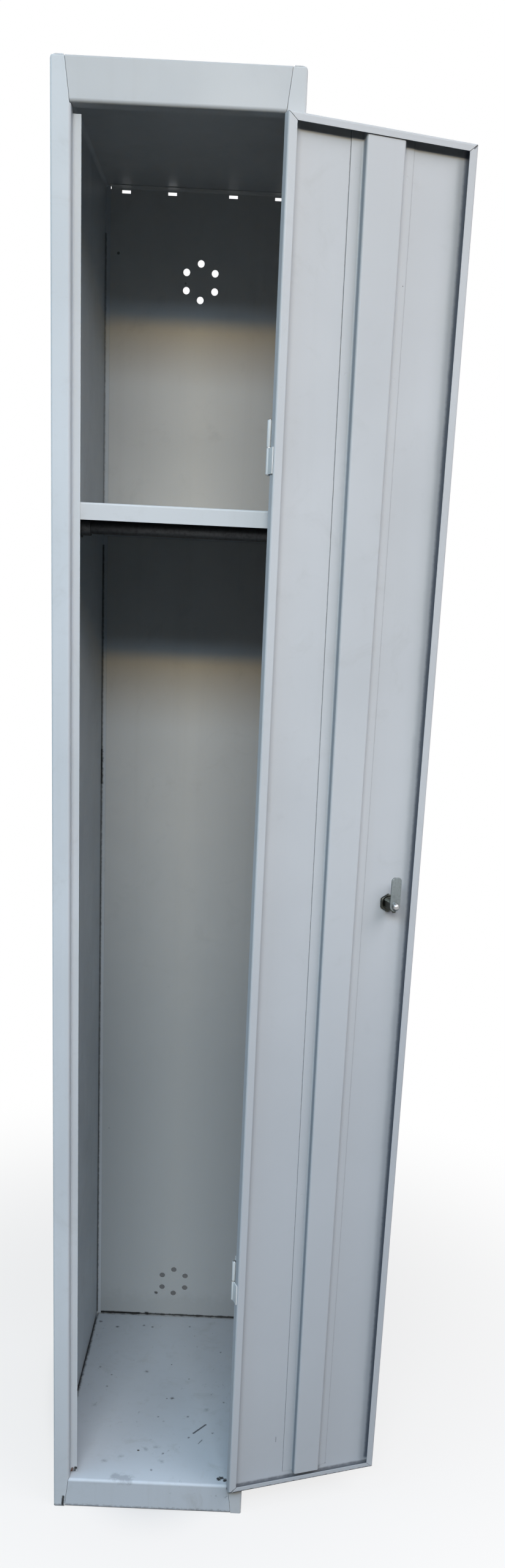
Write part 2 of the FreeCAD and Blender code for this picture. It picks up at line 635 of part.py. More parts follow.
def lock_stop_plate():
    """Round plate on the squared tail, with a tab that limits the quarter turn."""
    low = STOP_PLATE_START
    high = low + STOP_PLATE_THICK
    plate = depth_cylinder(STOP_PLATE_RADIUS, low, high, LOCK_X, LOCK_HEIGHT)
    tab = box((LOCK_X - STOP_TAB, low, LOCK_HEIGHT - STOP_PLATE_RADIUS - STOP_TAB),
              (LOCK_X + STOP_TAB, high, LOCK_HEIGHT))
    return joined(plate, tab).cut(on_lock_line(square(TAIL_SQUARE + 2 * TAIL_FIT), low, high))


def lock_cam():
    """Flat arm with a round foot about the squared tail and a rounded tip above it."""
    radius = CAM_WIDTH / 2
    corner = CAM_TIP_RADIUS
    bulge = corner * math.sqrt(0.5)
    outline = [
        Part.Arc(Vector(-radius, 0, 0), Vector(0, -radius, 0), Vector(radius, 0, 0)).toShape(),
        Part.makeLine(Vector(radius, 0, 0), Vector(radius, CAM_REACH - corner, 0)),
        Part.Arc(Vector(radius, CAM_REACH - corner, 0),
                 Vector(radius - corner + bulge, CAM_REACH - corner + bulge, 0),
                 Vector(radius - corner, CAM_REACH, 0)).toShape(),
        Part.makeLine(Vector(radius - corner, CAM_REACH, 0), Vector(corner - radius, CAM_REACH, 0)),
        Part.Arc(Vector(corner - radius, CAM_REACH, 0),
                 Vector(corner - radius - bulge, CAM_REACH - corner + bulge, 0),
                 Vector(-radius, CAM_REACH - corner, 0)).toShape(),
        Part.makeLine(Vector(-radius, CAM_REACH - corner, 0), Vector(-radius, 0, 0))]
    arm = on_lock_line(Part.Face(Part.Wire(outline)), CAM_START, CAM_END)
    return arm.cut(on_lock_line(square(TAIL_SQUARE + 2 * TAIL_FIT), CAM_START, CAM_END))


def cam_nut():
    """Domed hexagon nut that holds the cam on the plug."""
    low = CAM_NUT_START
    shoulder = low + CAM_NUT_HEIGHT
    hexagon_base = on_lock_line(hexagon(CAM_NUT_FLATS), low, shoulder)
    ball_radius = (CAM_NUT_DOME_RADIUS ** 2 + CAM_NUT_DOME_HEIGHT ** 2) / (2 * CAM_NUT_DOME_HEIGHT)
    ball = Part.makeSphere(ball_radius, Vector(LOCK_X, shoulder + CAM_NUT_DOME_HEIGHT - ball_radius, LOCK_HEIGHT))
    reach = 2 * CAM_NUT_DOME_RADIUS
    cap = ball.common(box((LOCK_X - reach, shoulder, LOCK_HEIGHT - reach),
                          (LOCK_X + reach, shoulder + reach, LOCK_HEIGHT + reach)))
    stud_hole = depth_cylinder(STUD_RADIUS + LAP, low, CAM_END + STUD_LENGTH + LAP, LOCK_X, LOCK_HEIGHT)
    return joined(hexagon_base, cap).cut(stud_hole)


def swung_open(shape):
    """The door's pieces turned about the hinge line to where the door rests, fully open."""
    turned = shape.copy()
    turned.rotate(HINGE_AXIS, Vector(0, 0, 1), OPEN_ANGLE)
    return turned


def build_nodes():
    """Every piece by name, in the place where it rests."""
    cabinet = {
        "left_side_panel": side_panel(True),
        "right_side_panel": mirrored(side_panel(False)),
        "back_panel": back_panel(),
        "top_panel": top_panel(),
        "base_panel": base_panel(),
        "hat_shelf": hat_shelf(),
        "hanging_rail": hanging_rail(),
        "rail_socket_left": rail_socket(),
        "rail_socket_right": mirrored(rail_socket()),
    }
    door = {
        "door_panel": door_panel(),
        "door_stiffener": door_stiffener(),
        "lock_housing": lock_housing(),
        "lock_nut": lock_nut(),
        "lock_plug": lock_plug(),
        "lock_wafers": lock_wafers(),
        "lock_stop_plate": lock_stop_plate(),
        "lock_cam": lock_cam(),
        "cam_nut": cam_nut(),
    }
    for place, height in (("upper", UPPER_HINGE_HEIGHT), ("lower", LOWER_HINGE_HEIGHT)):
        cabinet[f"{place}_hinge_frame_leaf"] = frame_leaf(height)
        cabinet[f"{place}_hinge_pin"] = hinge_pin(height)
        cabinet[f"{place}_hinge_washer"] = hinge_washer(height)
        door[f"{place}_hinge_door_leaf"] = door_leaf(height)
    return cabinet | {name: swung_open(shape) for name, shape in door.items()}


os.makedirs("parts", exist_ok=True)
for node, shape in build_nodes().items():
    shape.translate(ORIGIN_SHIFT)
    shape.exportStep(f"parts/{node}.step")
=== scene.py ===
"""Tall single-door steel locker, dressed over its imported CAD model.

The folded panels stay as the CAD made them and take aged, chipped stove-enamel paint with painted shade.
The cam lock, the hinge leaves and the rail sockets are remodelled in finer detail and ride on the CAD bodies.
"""
import json
import logging
import math
from dataclasses import dataclass
from enum import Enum
from typing import Iterable, Sequence, Union

import bpy
from mathutils import Matrix, Vector

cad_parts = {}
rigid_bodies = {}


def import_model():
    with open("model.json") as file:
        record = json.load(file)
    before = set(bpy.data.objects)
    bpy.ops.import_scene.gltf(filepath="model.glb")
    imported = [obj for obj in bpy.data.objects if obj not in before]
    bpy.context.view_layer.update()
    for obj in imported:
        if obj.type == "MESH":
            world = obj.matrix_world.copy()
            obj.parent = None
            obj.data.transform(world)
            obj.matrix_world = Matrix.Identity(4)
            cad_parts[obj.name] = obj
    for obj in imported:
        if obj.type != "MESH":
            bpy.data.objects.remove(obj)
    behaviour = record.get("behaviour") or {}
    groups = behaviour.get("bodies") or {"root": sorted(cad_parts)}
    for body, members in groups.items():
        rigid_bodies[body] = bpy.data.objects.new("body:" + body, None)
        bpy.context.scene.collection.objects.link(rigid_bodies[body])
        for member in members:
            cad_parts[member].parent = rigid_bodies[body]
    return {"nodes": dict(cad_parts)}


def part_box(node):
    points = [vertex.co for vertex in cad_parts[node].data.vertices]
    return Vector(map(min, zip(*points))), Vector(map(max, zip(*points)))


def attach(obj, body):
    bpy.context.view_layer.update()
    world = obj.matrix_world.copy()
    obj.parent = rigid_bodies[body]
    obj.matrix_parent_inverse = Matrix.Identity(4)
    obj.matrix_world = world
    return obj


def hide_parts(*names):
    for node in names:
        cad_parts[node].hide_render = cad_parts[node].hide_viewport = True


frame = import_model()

LOG = logging.getLogger("locker")

Rgb = tuple[float, float, float]
Point = tuple[float, float, float]
Socket = bpy.types.NodeSocket
Value = Union[float, Sequence[float], Socket]

FLOOR_TOP = 0.046
HINGE_AXIS = Vector((0.111, -0.014, 0.0))
DOOR_ANGLE = math.radians(199.7)
LOCK_CENTRE = Vector((0.28652, 0.044597, 0.9))
LOCK_AXIS = Vector((0.3371, -0.94147, 0.0)).normalized()
STEEL = 0.0008
HINGE_SETBACK = 0.004
MERGE_DISTANCE = 1e-6


class Body(Enum):
    """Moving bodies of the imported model."""

    CABINET = "cabinet"
    DOOR = "door"
    LOCK = "lock_barrel"


class Slot(Enum):
    """Material slots that the record names."""

    PAINT = "grey_paint"
    ZINC = "zinc_tube"
    CAM = "cam_steel"
    PLATE = "lock_plate"
    DARK = "dark_steel"


def on_door(across: float, depth: float, height: float) -> Point:
    """Place a point of the door, as it hangs at rest.

    Args:
        across: Distance from the hinge edge, in metres.
        depth: Distance behind the door's outer face, in metres.
        height: Height above the ground, in metres.

    Returns:
        The point in the row frame.
    """
    turned = Matrix.Rotation(DOOR_ANGLE, 3, "Z") @ Vector((-across, depth + HINGE_SETBACK, 0.0))
    return (HINGE_AXIS.x + turned.x, HINGE_AXIS.y + turned.y, height)


def on_floor(places: Sequence[tuple[float, float]]) -> tuple[Point, ...]:
    """Put places on the locker's floor sheet.

    Args:
        places: Distance from the middle and from the front, in metres.

    Returns:
        The points in the row frame.
    """
    return tuple((across, depth, FLOOR_TOP) for across, depth in places)


class Graph:
    """Short calls for wiring one node tree."""

    def __init__(self, tree: bpy.types.NodeTree) -> None:
        """Take over a tree and empty it.

        Args:
            tree: The node tree to fill.
        """
        self.tree = tree
        self.tree.nodes.clear()

    def add(self, kind: str, inputs: dict | None = None, **settings: object) -> bpy.types.Node:
        """Add a node.

        Args:
            kind: Node type name.
            inputs: Values or sockets by input name or index.
            settings: Node properties to set first.

        Returns:
            The new node.
        """
        node = self.tree.nodes.new(kind)
        for name, value in settings.items():
            setattr(node, name, value)
        for key, value in (inputs or {}).items():
            self.feed(node.inputs[key], value)
        return node

    def feed(self, socket: Socket, value: Value) -> None:
        """Give an input a constant or a link.

        Args:
            socket: The input.
            value: A number, a colour, a vector or another node's output.
        """
        if isinstance(value, bpy.types.NodeSocket):
            self.tree.links.new(value, socket)
        elif socket.type == "RGBA":
            socket.default_value = (*value[:3], 1.0)
        else:
            socket.default_value = value

    def place(self) -> Socket:
        """Give the object coordinates.

        Returns:
            The vector output.
        """
        return self.add("ShaderNodeTexCoord").outputs["Object"]

    def math(self, operation: str, first: Value, second: Value = 0.0, clamp: bool = False) -> Socket:
        """Do one sum on two numbers.

        Args:
            operation: Math node operation.
            first: First number.
            second: Second number.
            clamp: Keep the result from 0 to 1.

        Returns:
            The result.
        """
        node = self.add("ShaderNodeMath", {0: first, 1: second}, operation=operation, use_clamp=clamp)
        return node.outputs[0]

    def limited(self, value: Value, high: float) -> Socket:
        """Keep a number from 0 to a limit.

        Args:
            value: The number.
            high: The limit.

        Returns:
            The limited number.
        """
        return self.math("MINIMUM", self.math("MAXIMUM", value, 0.0), high)

    def vector(self, operation: str, first: Value, second: Value) -> Socket:
        """Do one sum on two vectors that gives a vector.

        Args:
            operation: Vector math operation.
            first: First vector.
            second: Second vector.

        Returns:
            The vector.
        """
        node = self.add("ShaderNodeVectorMath", {0: first, 1: second}, operation=operation)
        return node.outputs["Vector"]

    def measure(self, operation: str, first: Value, second: Value = (0.0, 0.0, 0.0)) -> Socket:
        """Do one sum on two vectors that gives a number.

        Args:
            operation: Vector math operation.
            first: First vector.
            second: Second vector, where the operation needs one.

        Returns:
            The number.
        """
        node = self.add("ShaderNodeVectorMath", {0: first, 1: second}, operation=operation)
        return node.outputs["Value"]

    def scaled(self, where: Value, factor: Value) -> Socket:
        """Scale a vector.

        Args:
            where: The vector.
            factor: The scale.

        Returns:
            The scaled vector.
        """
        node = self.add("ShaderNodeVectorMath", {0: where, "Scale": factor}, operation="SCALE")
        return node.outputs["Vector"]

    def stretched(self, where: Socket, scale: Point) -> Socket:
        """Scale coordinates along each axis.

        Args:
            where: The coordinates.
            scale: Scale along each axis.

        Returns:
            The scaled coordinates.
        """
        return self.add("ShaderNodeMapping", {"Vector": where, "Scale": scale}).outputs[0]

    def noise(
        self, where: Socket, scale: float, detail: float = 3.0, rough: float = 0.55, warp: float = 0.0
    ) -> Socket:
        """Sample fractal noise.

        Args:
            where: The coordinates.
            scale: Cells per metre.
            detail: Octaves.
            rough: Weight of the finer octaves.
            warp: Distortion.

        Returns:
            The noise from 0 to 1.
        """
        inputs = {"Vector": where, "Scale": scale, "Detail": detail, "Roughness": rough, "Distortion": warp}
        return self.add("ShaderNodeTexNoise", inputs).outputs[0]

    def cells(self, where: Socket, scale: float) -> bpy.types.Node:
        """Sample Voronoi cells.

        Args:
            where: The coordinates.
            scale: Cells per metre.

        Returns:
            The node, with its Distance and Color outputs.
        """
        return self.add("ShaderNodeTexVoronoi", {"Vector": where, "Scale": scale, "Randomness": 1.0})

    def step(self, value: Value, low: float, high: float, start: float = 0.0, end: float = 1.0) -> Socket:
        """Ramp a number smoothly.

        Args:
            value: The number.
            low: Where the ramp starts.
            high: Where the ramp ends.
            start: Result at low.
            end: Result at high.

        Returns:
            The ramped number.
        """
        inputs = {"Value": value, "From Min": low, "From Max": high, "To Min": start, "To Max": end}
        return self.add("ShaderNodeMapRange", inputs, interpolation_type="SMOOTHSTEP").outputs[0]

    def mix(self, factor: Value, first: Value, second: Value, mode: str = "MIX") -> Socket:
        """Mix two colours.

        Args:
            factor: Share of the second colour.
            first: First colour.
            second: Second colour.
            mode: Blend mode.

        Returns:
            The mixed colour.
        """
        node = self.add("ShaderNodeMix", {0: factor, 6: first, 7: second}, data_type="RGBA", blend_type=mode)
        return node.outputs[2]

    def axis(self, where: Socket, name: str) -> Socket:
        """Give one part of a vector.

        Args:
            where: The vector.
            name: X, Y or Z.

        Returns:
            The number.
        """
        return self.add("ShaderNodeSeparateXYZ", {0: where}).outputs[name]

    def seen(self) -> Socket:
        """Tell what the camera sees, straight or in a reflection.

        Returns:
            1 for such rays, otherwise 0.
        """
        rays = self.add("ShaderNodeLightPath").outputs
        straight = self.math("MAXIMUM", rays["Is Camera Ray"], rays["Is Transmission Ray"])
        return self.math("MAXIMUM", straight, rays["Is Glossy Ray"])

    def bump(self, height: Socket, strength: float, depth: float, after: Socket | None = None) -> Socket:
        """Turn a height into a normal.

        Args:
            height: Height from 0 to 1.
            strength: Share of the effect.
            depth: Height of 1, in metres.
            after: A normal to add to.

        Returns:
            The normal.
        """
        inputs: dict = {"Height": height, "Strength": strength, "Distance": depth}
        if after is not None:
            inputs["Normal"] = after
        return self.add("ShaderNodeBump", inputs).outputs[0]

    def finish(self, **inputs: Value) -> None:
        """End the tree in a Principled surface.

        Args:
            inputs: Values by input name, with underscores for spaces.
        """
        named = {key.replace("_", " "): value for key, value in inputs.items()}
        self.close(self.add("ShaderNodeBsdfPrincipled", named))

    def close(self, shader: bpy.types.Node, kind: str = "ShaderNodeOutputMaterial") -> None:
        """Send a shader to the tree's output.

        Args:
            shader: The last shader node.
            kind: Type of the output node.
        """
        output = self.add(kind)
        self.tree.links.new(shader.outputs[0], output.inputs[0])


def new_material(name: str) -> tuple[bpy.types.Material, Graph]:
    """Make an empty node material.

    Args:
        name: Its name.

    Returns:
        The material and its graph.
    """
    material = bpy.data.materials.new(name)
    material.use_nodes = True
    return material, Graph(material.node_tree)


@dataclass(frozen=True)
class Line:
    """A straight mark, such as a scratch, a stain in a corner, a band of painted shade or a row of weld
    dimples.

    Attributes:
        start: One end, in the row frame.
        end: Other end.
        width: Half width where the mark fades out.
        colour: Colour of the mark.
        strength: How far the mark covers the paint.
        ragged: How far noise breaks the mark up.
        grain: Noise cells per metre that break it up.
    """

    start: Point
    end: Point
    width: float
    colour: Rgb
    strength: float = 1.0
    ragged: float = 0.5
    grain: float = 160.0

    def mask(self, graph: Graph, where: Socket) -> Socket:
        """Work out where the mark is.

        Args:
            graph: The tree to add to.
            where: Object coordinates.

        Returns:
            A mask from 0 to 1.
        """
        along = Vector(self.end) - Vector(self.start)
        offset = graph.vector("SUBTRACT", where, self.start)
        share = graph.measure("DOT_PRODUCT", offset, tuple(along / along.length_squared))
        foot = graph.scaled(tuple(along), graph.limited(share, 1.0))
        broken = graph.math("SUBTRACT", graph.noise(where, self.grain, 4.0, 0.65), 0.5)
        wander = graph.math("MULTIPLY", broken, self.width * 2.0 * self.ragged)
        away = graph.math("ADD", graph.measure("DISTANCE", offset, foot), wander)
        covered = graph.step(away, 0.25 * self.width, self.width, 1.0, 0.0)
        return graph.math("MULTIPLY", covered, self.strength)


@dataclass(frozen=True)
class WeldRow:
    """A row of shallow spot-weld dimples.

    Attributes:
        start: First dimple.
        end: Last dimple.
        count: Number of dimples.
        radius: Radius of one.
    """

    start: Point
    end: Point
    count: int
    radius: float = 0.0028

    def mask(self, graph: Graph, where: Socket) -> Socket:
        """Work out where the dimples are.

        Args:
            graph: The tree to add to.
            where: Object coordinates.

        Returns:
            A mask from 0 to 1, 1 in the middle of each dimple.
        """
        pitch = (Vector(self.end) - Vector(self.start)) / (self.count - 1)
        offset = graph.vector("SUBTRACT", where, self.start)
        share = graph.measure("DOT_PRODUCT", offset, tuple(pitch / pitch.length_squared))
        nearest = graph.limited(graph.math("ROUND", share), float(self.count - 1))
        away = graph.measure("DISTANCE", offset, graph.scaled(tuple(pitch), nearest))
        return graph.step(away, 0.55 * self.radius, self.radius, 1.0, 0.0)


@dataclass(frozen=True)
class Spots:
    """Small ragged blots at known places.

    Attributes:
        points: Middle of each blot.
        radius: Radius where a blot fades out.
        colour: Colour of the blots.
        strength: How far they cover the paint.
        core: Share of the radius that is covered fully.
    """

    points: tuple[Point, ...]
    radius: float
    colour: Rgb
    strength: float = 0.8
    core: float = 0.5

    def mask(self, graph: Graph, where: Socket) -> Socket:
        """Work out where the blots are.

        Args:
            graph: The tree to add to.
            where: Object coordinates.

        Returns:
            A mask from 0 to 1.
        """
        nearest: Value = 1.0
        for point in self.points:
            nearest = graph.math("MINIMUM", nearest, graph.measure("DISTANCE", where, point))
        broken = graph.math("SUBTRACT", graph.noise(where, 0.9 / self.radius, 4.0, 0.7), 0.5)
        nearest = graph.math("ADD", nearest, graph.math("MULTIPLY", broken, 2.4 * self.radius))
        covered = graph.step(nearest, self.core * self.radius, self.radius, 1.0, 0.0)
        return graph.math("MULTIPLY", covered, self.strength)


Mark = Union[Line, Spots]


DIRT: Rgb = (0.055, 0.047, 0.040)
RUST: Rgb = (0.085, 0.032, 0.014)
SOOT: Rgb = (0.012, 0.012, 0.012)
BARE_STEEL: Rgb = (0.09, 0.085, 0.08)
STREAKS: Rgb = (0.32, 0.31, 0.29)
DUST: Rgb = (0.24, 0.228, 0.208)
RUBBED: Rgb = (0.15, 0.155, 0.165)
DOOR_PAINT: Rgb = (0.444, 0.460, 0.474)
CORNER_REACH = 0.005
CHIP_RADIUS = 0.0011
WAVE_HEIGHT = 0.0016
PEEL_HEIGHT = 0.00006
PAINT_THICKNESS = 0.0001
DIMPLE_DEPTH = 0.0003


@dataclass(frozen=True)
class Enamel:
    """Aged light grey stove enamel on folded steel.

    Attributes:
        name: Material name.
        tint: Paint colour.
        gloss: Roughness of clean paint.
        sheen: Strength of its reflections.
        grime: Dust and smudges, from 0 to 1.
        specks: Dark specks, from 0 to 1.
        chips: Chipped edges, from 0 to 1.
        corner_shade: Painted shade and dirt in the inner corners and seams, from 0 to 1.
        scuffs: Faint irregular rubs, from 0 to 1.
        marks: Marks at known places.
        welds: Rows of weld dimples.
    """

    name: str
    tint: Rgb = (0.460, 0.476, 0.488)
    gloss: float = 0.40
    sheen: float = 0.22
    grime: float = 0.35
    specks: float = 0.25
    chips: float = 0.5
    corner_shade: float = 0.75
    scuffs: float = 0.0
    marks: tuple[Mark, ...] = ()
    welds: tuple[WeldRow, ...] = ()

    def build(self) -> bpy.types.Material:
        """Make the paint.

        Returns:
            The material.
        """
        material, graph = new_material(self.name)
        where = graph.place()
        colour = self.aged_colour(graph, where)
        smudge = graph.noise(where, 9.0, 5.0, 0.6, 0.4)
        rough = graph.step(smudge, 0.3, 0.75, self.gloss - 0.06, self.gloss + 0.16)
        # Painted shade and dirt in the inner corners, found by ambient occlusion.
        colour = graph.mix(self.corner_shade_and_dirt(graph, where), colour, DIRT)
        bare = self.worn_edges(graph, where)
        colour = graph.mix(bare, colour, graph.mix(graph.noise(where, 420.0), BARE_STEEL, RUST))
        rough = graph.math("ADD", rough, graph.math("MULTIPLY", bare, 0.25))
        for mark in self.marks:
            mask = mark.mask(graph, where)
            colour = graph.mix(mask, colour, mark.colour)
            rough = graph.math("ADD", rough, graph.math("MULTIPLY", mask, 0.3), clamp=True)
        normal = self.surface(graph, where, bare)
        graph.finish(Base_Color=colour, Roughness=rough, Normal=normal, Specular_IOR_Level=self.sheen)
        return material

    def aged_colour(self, graph: Graph, where: Socket) -> Socket:
        """Vary the paint with fading, streaks, dust and specks.

        Args:
            graph: The tree to add to.
            where: Object coordinates.

        Returns:
            The colour.
        """
        pale = tuple(min(1.0, v * 1.05) for v in self.tint)
        dull = tuple(v * 0.93 for v in self.tint)
        colour = graph.mix(graph.step(graph.noise(where, 2.6, 3.0), 0.3, 0.7), dull, pale)
        streak = graph.noise(graph.stretched(where, (46.0, 46.0, 1.4)), 1.0, 4.0, 0.6)
        colour = graph.mix(graph.step(streak, 0.5, 0.8, 0.0, 0.28 * self.grime), colour, STREAKS)
        cloud = graph.noise(where, 21.0, 6.0, 0.7, 0.6)
        colour = graph.mix(graph.step(cloud, 0.52, 0.8, 0.0, 0.55 * self.grime), colour, DUST)
        if self.scuffs:
            drawn = graph.noise(graph.stretched(where, (1.0, 0.55, 1.0)), 120.0, 5.0, 0.75)
            area = graph.step(graph.noise(where, 14.0), 0.42, 0.62, 0.0, 0.75 * self.scuffs)
            rub = graph.math("MULTIPLY", graph.step(drawn, 0.62, 0.72), area)
            colour = graph.mix(rub, colour, RUBBED)
        dots = graph.cells(where, 95.0)
        few = graph.step(graph.axis(dots.outputs["Color"], "X"), 1.0 - 0.16 * self.specks, 1.0)
        size = graph.step(graph.axis(dots.outputs["Color"], "Y"), 0.0, 1.0, 0.06, 0.20)
        inside = graph.math("LESS_THAN", dots.outputs["Distance"], size)
        return graph.mix(graph.math("MULTIPLY", inside, few), colour, DIRT)

    def corner_shade_and_dirt(self, graph: Graph, where: Socket) -> Socket:
        """Find the inner corners and seams, for painted shade and dirt there.

        Args:
            graph: The tree to add to.
            where: Object coordinates.

        Returns:
            A mask from 0 to 1.
        """
        opening = graph.add("ShaderNodeAmbientOcclusion", {"Distance": CORNER_REACH}, samples=8).outputs["AO"]
        broken = graph.step(graph.noise(where, 70.0, 4.0, 0.65), 0.3, 0.7, 0.55, 1.0)
        return graph.math("MULTIPLY", graph.step(opening, 0.25, 0.70, self.corner_shade, 0.0), broken)

    def worn_edges(self, graph: Graph, where: Socket) -> Socket:
        """Find the chips along sharp edges.

        Args:
            graph: The tree to add to.
            where: Object coordinates.

        Returns:
            A mask from 0 to 1, 1 on bare metal.
        """
        rounded = graph.add("ShaderNodeBevel", {"Radius": CHIP_RADIUS}, samples=6).outputs[0]
        flat = graph.add("ShaderNodeNewGeometry").outputs["True Normal"]
        turn = graph.math("SUBTRACT", 1.0, graph.measure("DOT_PRODUCT", rounded, flat))
        edge = graph.step(turn, 0.04, 0.2)
        patch = graph.step(graph.noise(where, 34.0, 4.0, 0.7), 0.60, 0.72)
        return graph.math("MULTIPLY", graph.math("MULTIPLY", edge, patch), self.chips)

    def surface(self, graph: Graph, where: Socket, bare: Socket) -> Socket:
        """Shape the fine relief: spray texture, gentle sheet waves, weld dimples and chips.

        Args:
            graph: The tree to add to.
            where: Object coordinates.
            bare: Mask of bare metal.

        Returns:
            The normal.
        """
        waves = graph.noise(where, 4.5, 2.0, 0.4)
        normal = graph.bump(waves, 0.5, WAVE_HEIGHT)
        peel = graph.noise(where, 780.0, 2.0, 0.5)
        normal = graph.bump(peel, 0.35, PEEL_HEIGHT, normal)
        normal = graph.bump(graph.math("SUBTRACT", 1.0, bare), 0.5, PAINT_THICKNESS, normal)
        for row in self.welds:
            dimple = graph.math("SUBTRACT", 1.0, row.mask(graph, where))
            normal = graph.bump(dimple, 0.45, DIMPLE_DEPTH, normal)
        return normal


@dataclass(frozen=True)
class Plated:
    """Bare or plated metal with brushed grain and tarnish.

    Attributes:
        name: Material name.
        tint: Metal colour.
        tarnish: Colour of the dull patches.
        rough: Roughness of the clean metal.
        dull: Share of dull patches, from 0 to 1.
        grain: Stretch of the brushed grain, in cells per metre along each axis.
        metallic: How far it reflects as metal.
    """

    name: str
    tint: Rgb
    tarnish: Rgb
    rough: float
    dull: float = 0.4
    grain: Point = (900.0, 900.0, 60.0)
    metallic: float = 1.0

    def build(self) -> bpy.types.Material:
        """Make the metal.

        Returns:
            The material.
        """
        material, graph = new_material(self.name)
        where = graph.place()
        patch = graph.step(graph.noise(where, 260.0, 5.0, 0.65, 0.3), 0.42, 0.72, 0.0, self.dull)
        brushed = graph.noise(graph.stretched(where, self.grain), 1.0, 3.0, 0.6)
        colour = graph.mix(patch, self.tint, self.tarnish)
        colour = graph.mix(graph.step(brushed, 0.35, 0.75, 0.0, 0.22), colour, self.tarnish)
        rough = graph.math("ADD", graph.math("MULTIPLY", patch, 0.22), self.rough)
        rough = graph.math("ADD", rough, graph.step(brushed, 0.3, 0.8, 0.0, 0.08))
        normal = graph.bump(brushed, 0.25, 0.00003)
        graph.finish(Base_Color=colour, Roughness=rough, Metallic=self.metallic, Normal=normal)
        return material


class Shop:
    """Mesh work by operators, on one piece at a time."""

    @staticmethod
    def pick(*objects: bpy.types.Object) -> None:
        """Select only these, the last one active.

        Args:
            objects: Objects to select.
        """
        bpy.ops.object.select_all(action="DESELECT")
        for obj in objects:
            obj.select_set(True)
            bpy.context.view_layer.objects.active = obj

    @staticmethod
    def lathe(name: str, rings: Sequence[tuple[float, float]], sides: int) -> bpy.types.Object:
        """Turn a closed profile by extruding a circle ring by ring.

        Args:
            name: Name of the piece.
            rings: Radius and height of each ring, the last one meeting the first.
            sides: Points round the circle.

        Returns:
            The piece, on the Z axis.
        """
        radius, height = rings[0]
        bpy.ops.object.select_all(action="DESELECT")
        bpy.ops.mesh.primitive_circle_add(vertices=sides, radius=radius, location=(0.0, 0.0, height))
        piece = bpy.context.object
        piece.name = piece.data.name = name
        bpy.ops.object.transform_apply(location=True, rotation=True, scale=True)
        bpy.ops.object.mode_set(mode="EDIT")
        bpy.ops.mesh.select_all(action="SELECT")
        for next_radius, next_height in [*rings[1:], rings[0]]:
            rise = (0.0, 0.0, next_height - height)
            bpy.ops.mesh.extrude_region_move(TRANSFORM_OT_translate={"value": rise})
            ratio = next_radius / radius
            bpy.ops.transform.resize(value=(ratio, ratio, 1.0), center_override=(0.0, 0.0, next_height))
            radius, height = next_radius, next_height
        bpy.ops.mesh.select_all(action="SELECT")
        bpy.ops.mesh.remove_doubles(threshold=MERGE_DISTANCE)
        bpy.ops.mesh.normals_make_consistent(inside=False)
        bpy.ops.object.mode_set(mode="OBJECT")
        return piece

    @staticmethod
    def cut(piece: bpy.types.Object, point: Point, normal: Point) -> None:
        """Cut a piece flat and close the cut.

        Args:
            piece: The piece.
            point: A point of the cutting plane.
            normal: Its normal, towards the side that goes.
        """
        Shop.pick(piece)
        bpy.ops.object.mode_set(mode="EDIT")
        bpy.ops.mesh.select_all(action="SELECT")
        bpy.ops.mesh.bisect(plane_co=point, plane_no=normal, use_fill=True, clear_outer=True)
        bpy.ops.mesh.select_all(action="SELECT")
        bpy.ops.mesh.normals_make_consistent(inside=False)
        bpy.ops.object.mode_set(mode="OBJECT")

    @staticmethod
    def carve(piece: bpy.types.Object, tool: bpy.types.Object, operation: str) -> None:
        """Apply a boolean and drop the tool.

        Args:
            piece: The piece.
            tool: The other solid.
            operation: INTERSECT or DIFFERENCE.
        """
        Shop.pick(piece)
        modifier = piece.modifiers.new("carve", "BOOLEAN")
        modifier.operation, modifier.object, modifier.solver = operation, tool, "EXACT"
        bpy.ops.object.modifier_apply(modifier=modifier.name)
        bpy.data.objects.remove(tool)

    @staticmethod
    def soften(piece: bpy.types.Object, width: float, steps: int = 3, angle: float = 30.0) -> None:
        """Round the sharp edges and shade smooth.

        Args:
            piece: The piece.
            width: Width of the rounding.
            steps: Segments of the rounding.
            angle: Sharpest angle that stays as it is, in degrees.
        """
        Shop.pick(piece)
        modifier = piece.modifiers.new("rounding", "BEVEL")
        modifier.width, modifier.segments = width, steps
        modifier.limit_method, modifier.angle_limit = "ANGLE", math.radians(angle)
        modifier.use_clamp_overlap = True
        bpy.ops.object.modifier_apply(modifier=modifier.name)
        bpy.ops.object.shade_smooth_by_angle(angle=math.radians(angle))

    @staticmethod
    def point_along(piece: bpy.types.Object, origin: Vector, axis: Vector) -> None:
        """Stand a piece made on the Z axis along another axis.

        Args:
            piece: The piece.
            origin: Where its own origin goes.
            axis: Where its Z axis goes; its Y axis stays upright.
        """
        forward = axis.normalized()
        upright = Vector((0.0, 0.0, 1.0))
        side = upright.cross(forward).normalized()
        turn = Matrix((side, upright, forward)).transposed().to_4x4()
        piece.matrix_world = Matrix.Translation(origin) @ turn
        Shop.pick(piece)
        bpy.ops.object.transform_apply(location=True, rotation=True, scale=True)

    @staticmethod
    def copy_node(node: str, name: str) -> bpy.types.Object:
        """Copy a CAD node's mesh into a clean piece.

        Args:
            node: Name of the CAD node.
            name: Name of the piece.

        Returns:
            The copy, merged and with flat faces dissolved.
        """
        Shop.pick(frame["nodes"][node])
        bpy.ops.object.duplicate()
        piece = bpy.context.object
        bpy.ops.object.parent_clear(type="CLEAR_KEEP_TRANSFORM")
        for key in [key for key in piece.keys() if key.startswith("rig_")]:
            del piece[key]
        piece.name = piece.data.name = name
        bpy.ops.object.mode_set(mode="EDIT")
        bpy.ops.mesh.select_all(action="SELECT")
        bpy.ops.mesh.customdata_custom_splitnormals_clear()
        bpy.ops.mesh.remove_doubles(threshold=MERGE_DISTANCE)
        bpy.ops.mesh.dissolve_limited(angle_limit=math.radians(2.0))
        bpy.ops.mesh.normals_make_consistent(inside=False)
        bpy.ops.object.mode_set(mode="OBJECT")
        return piece


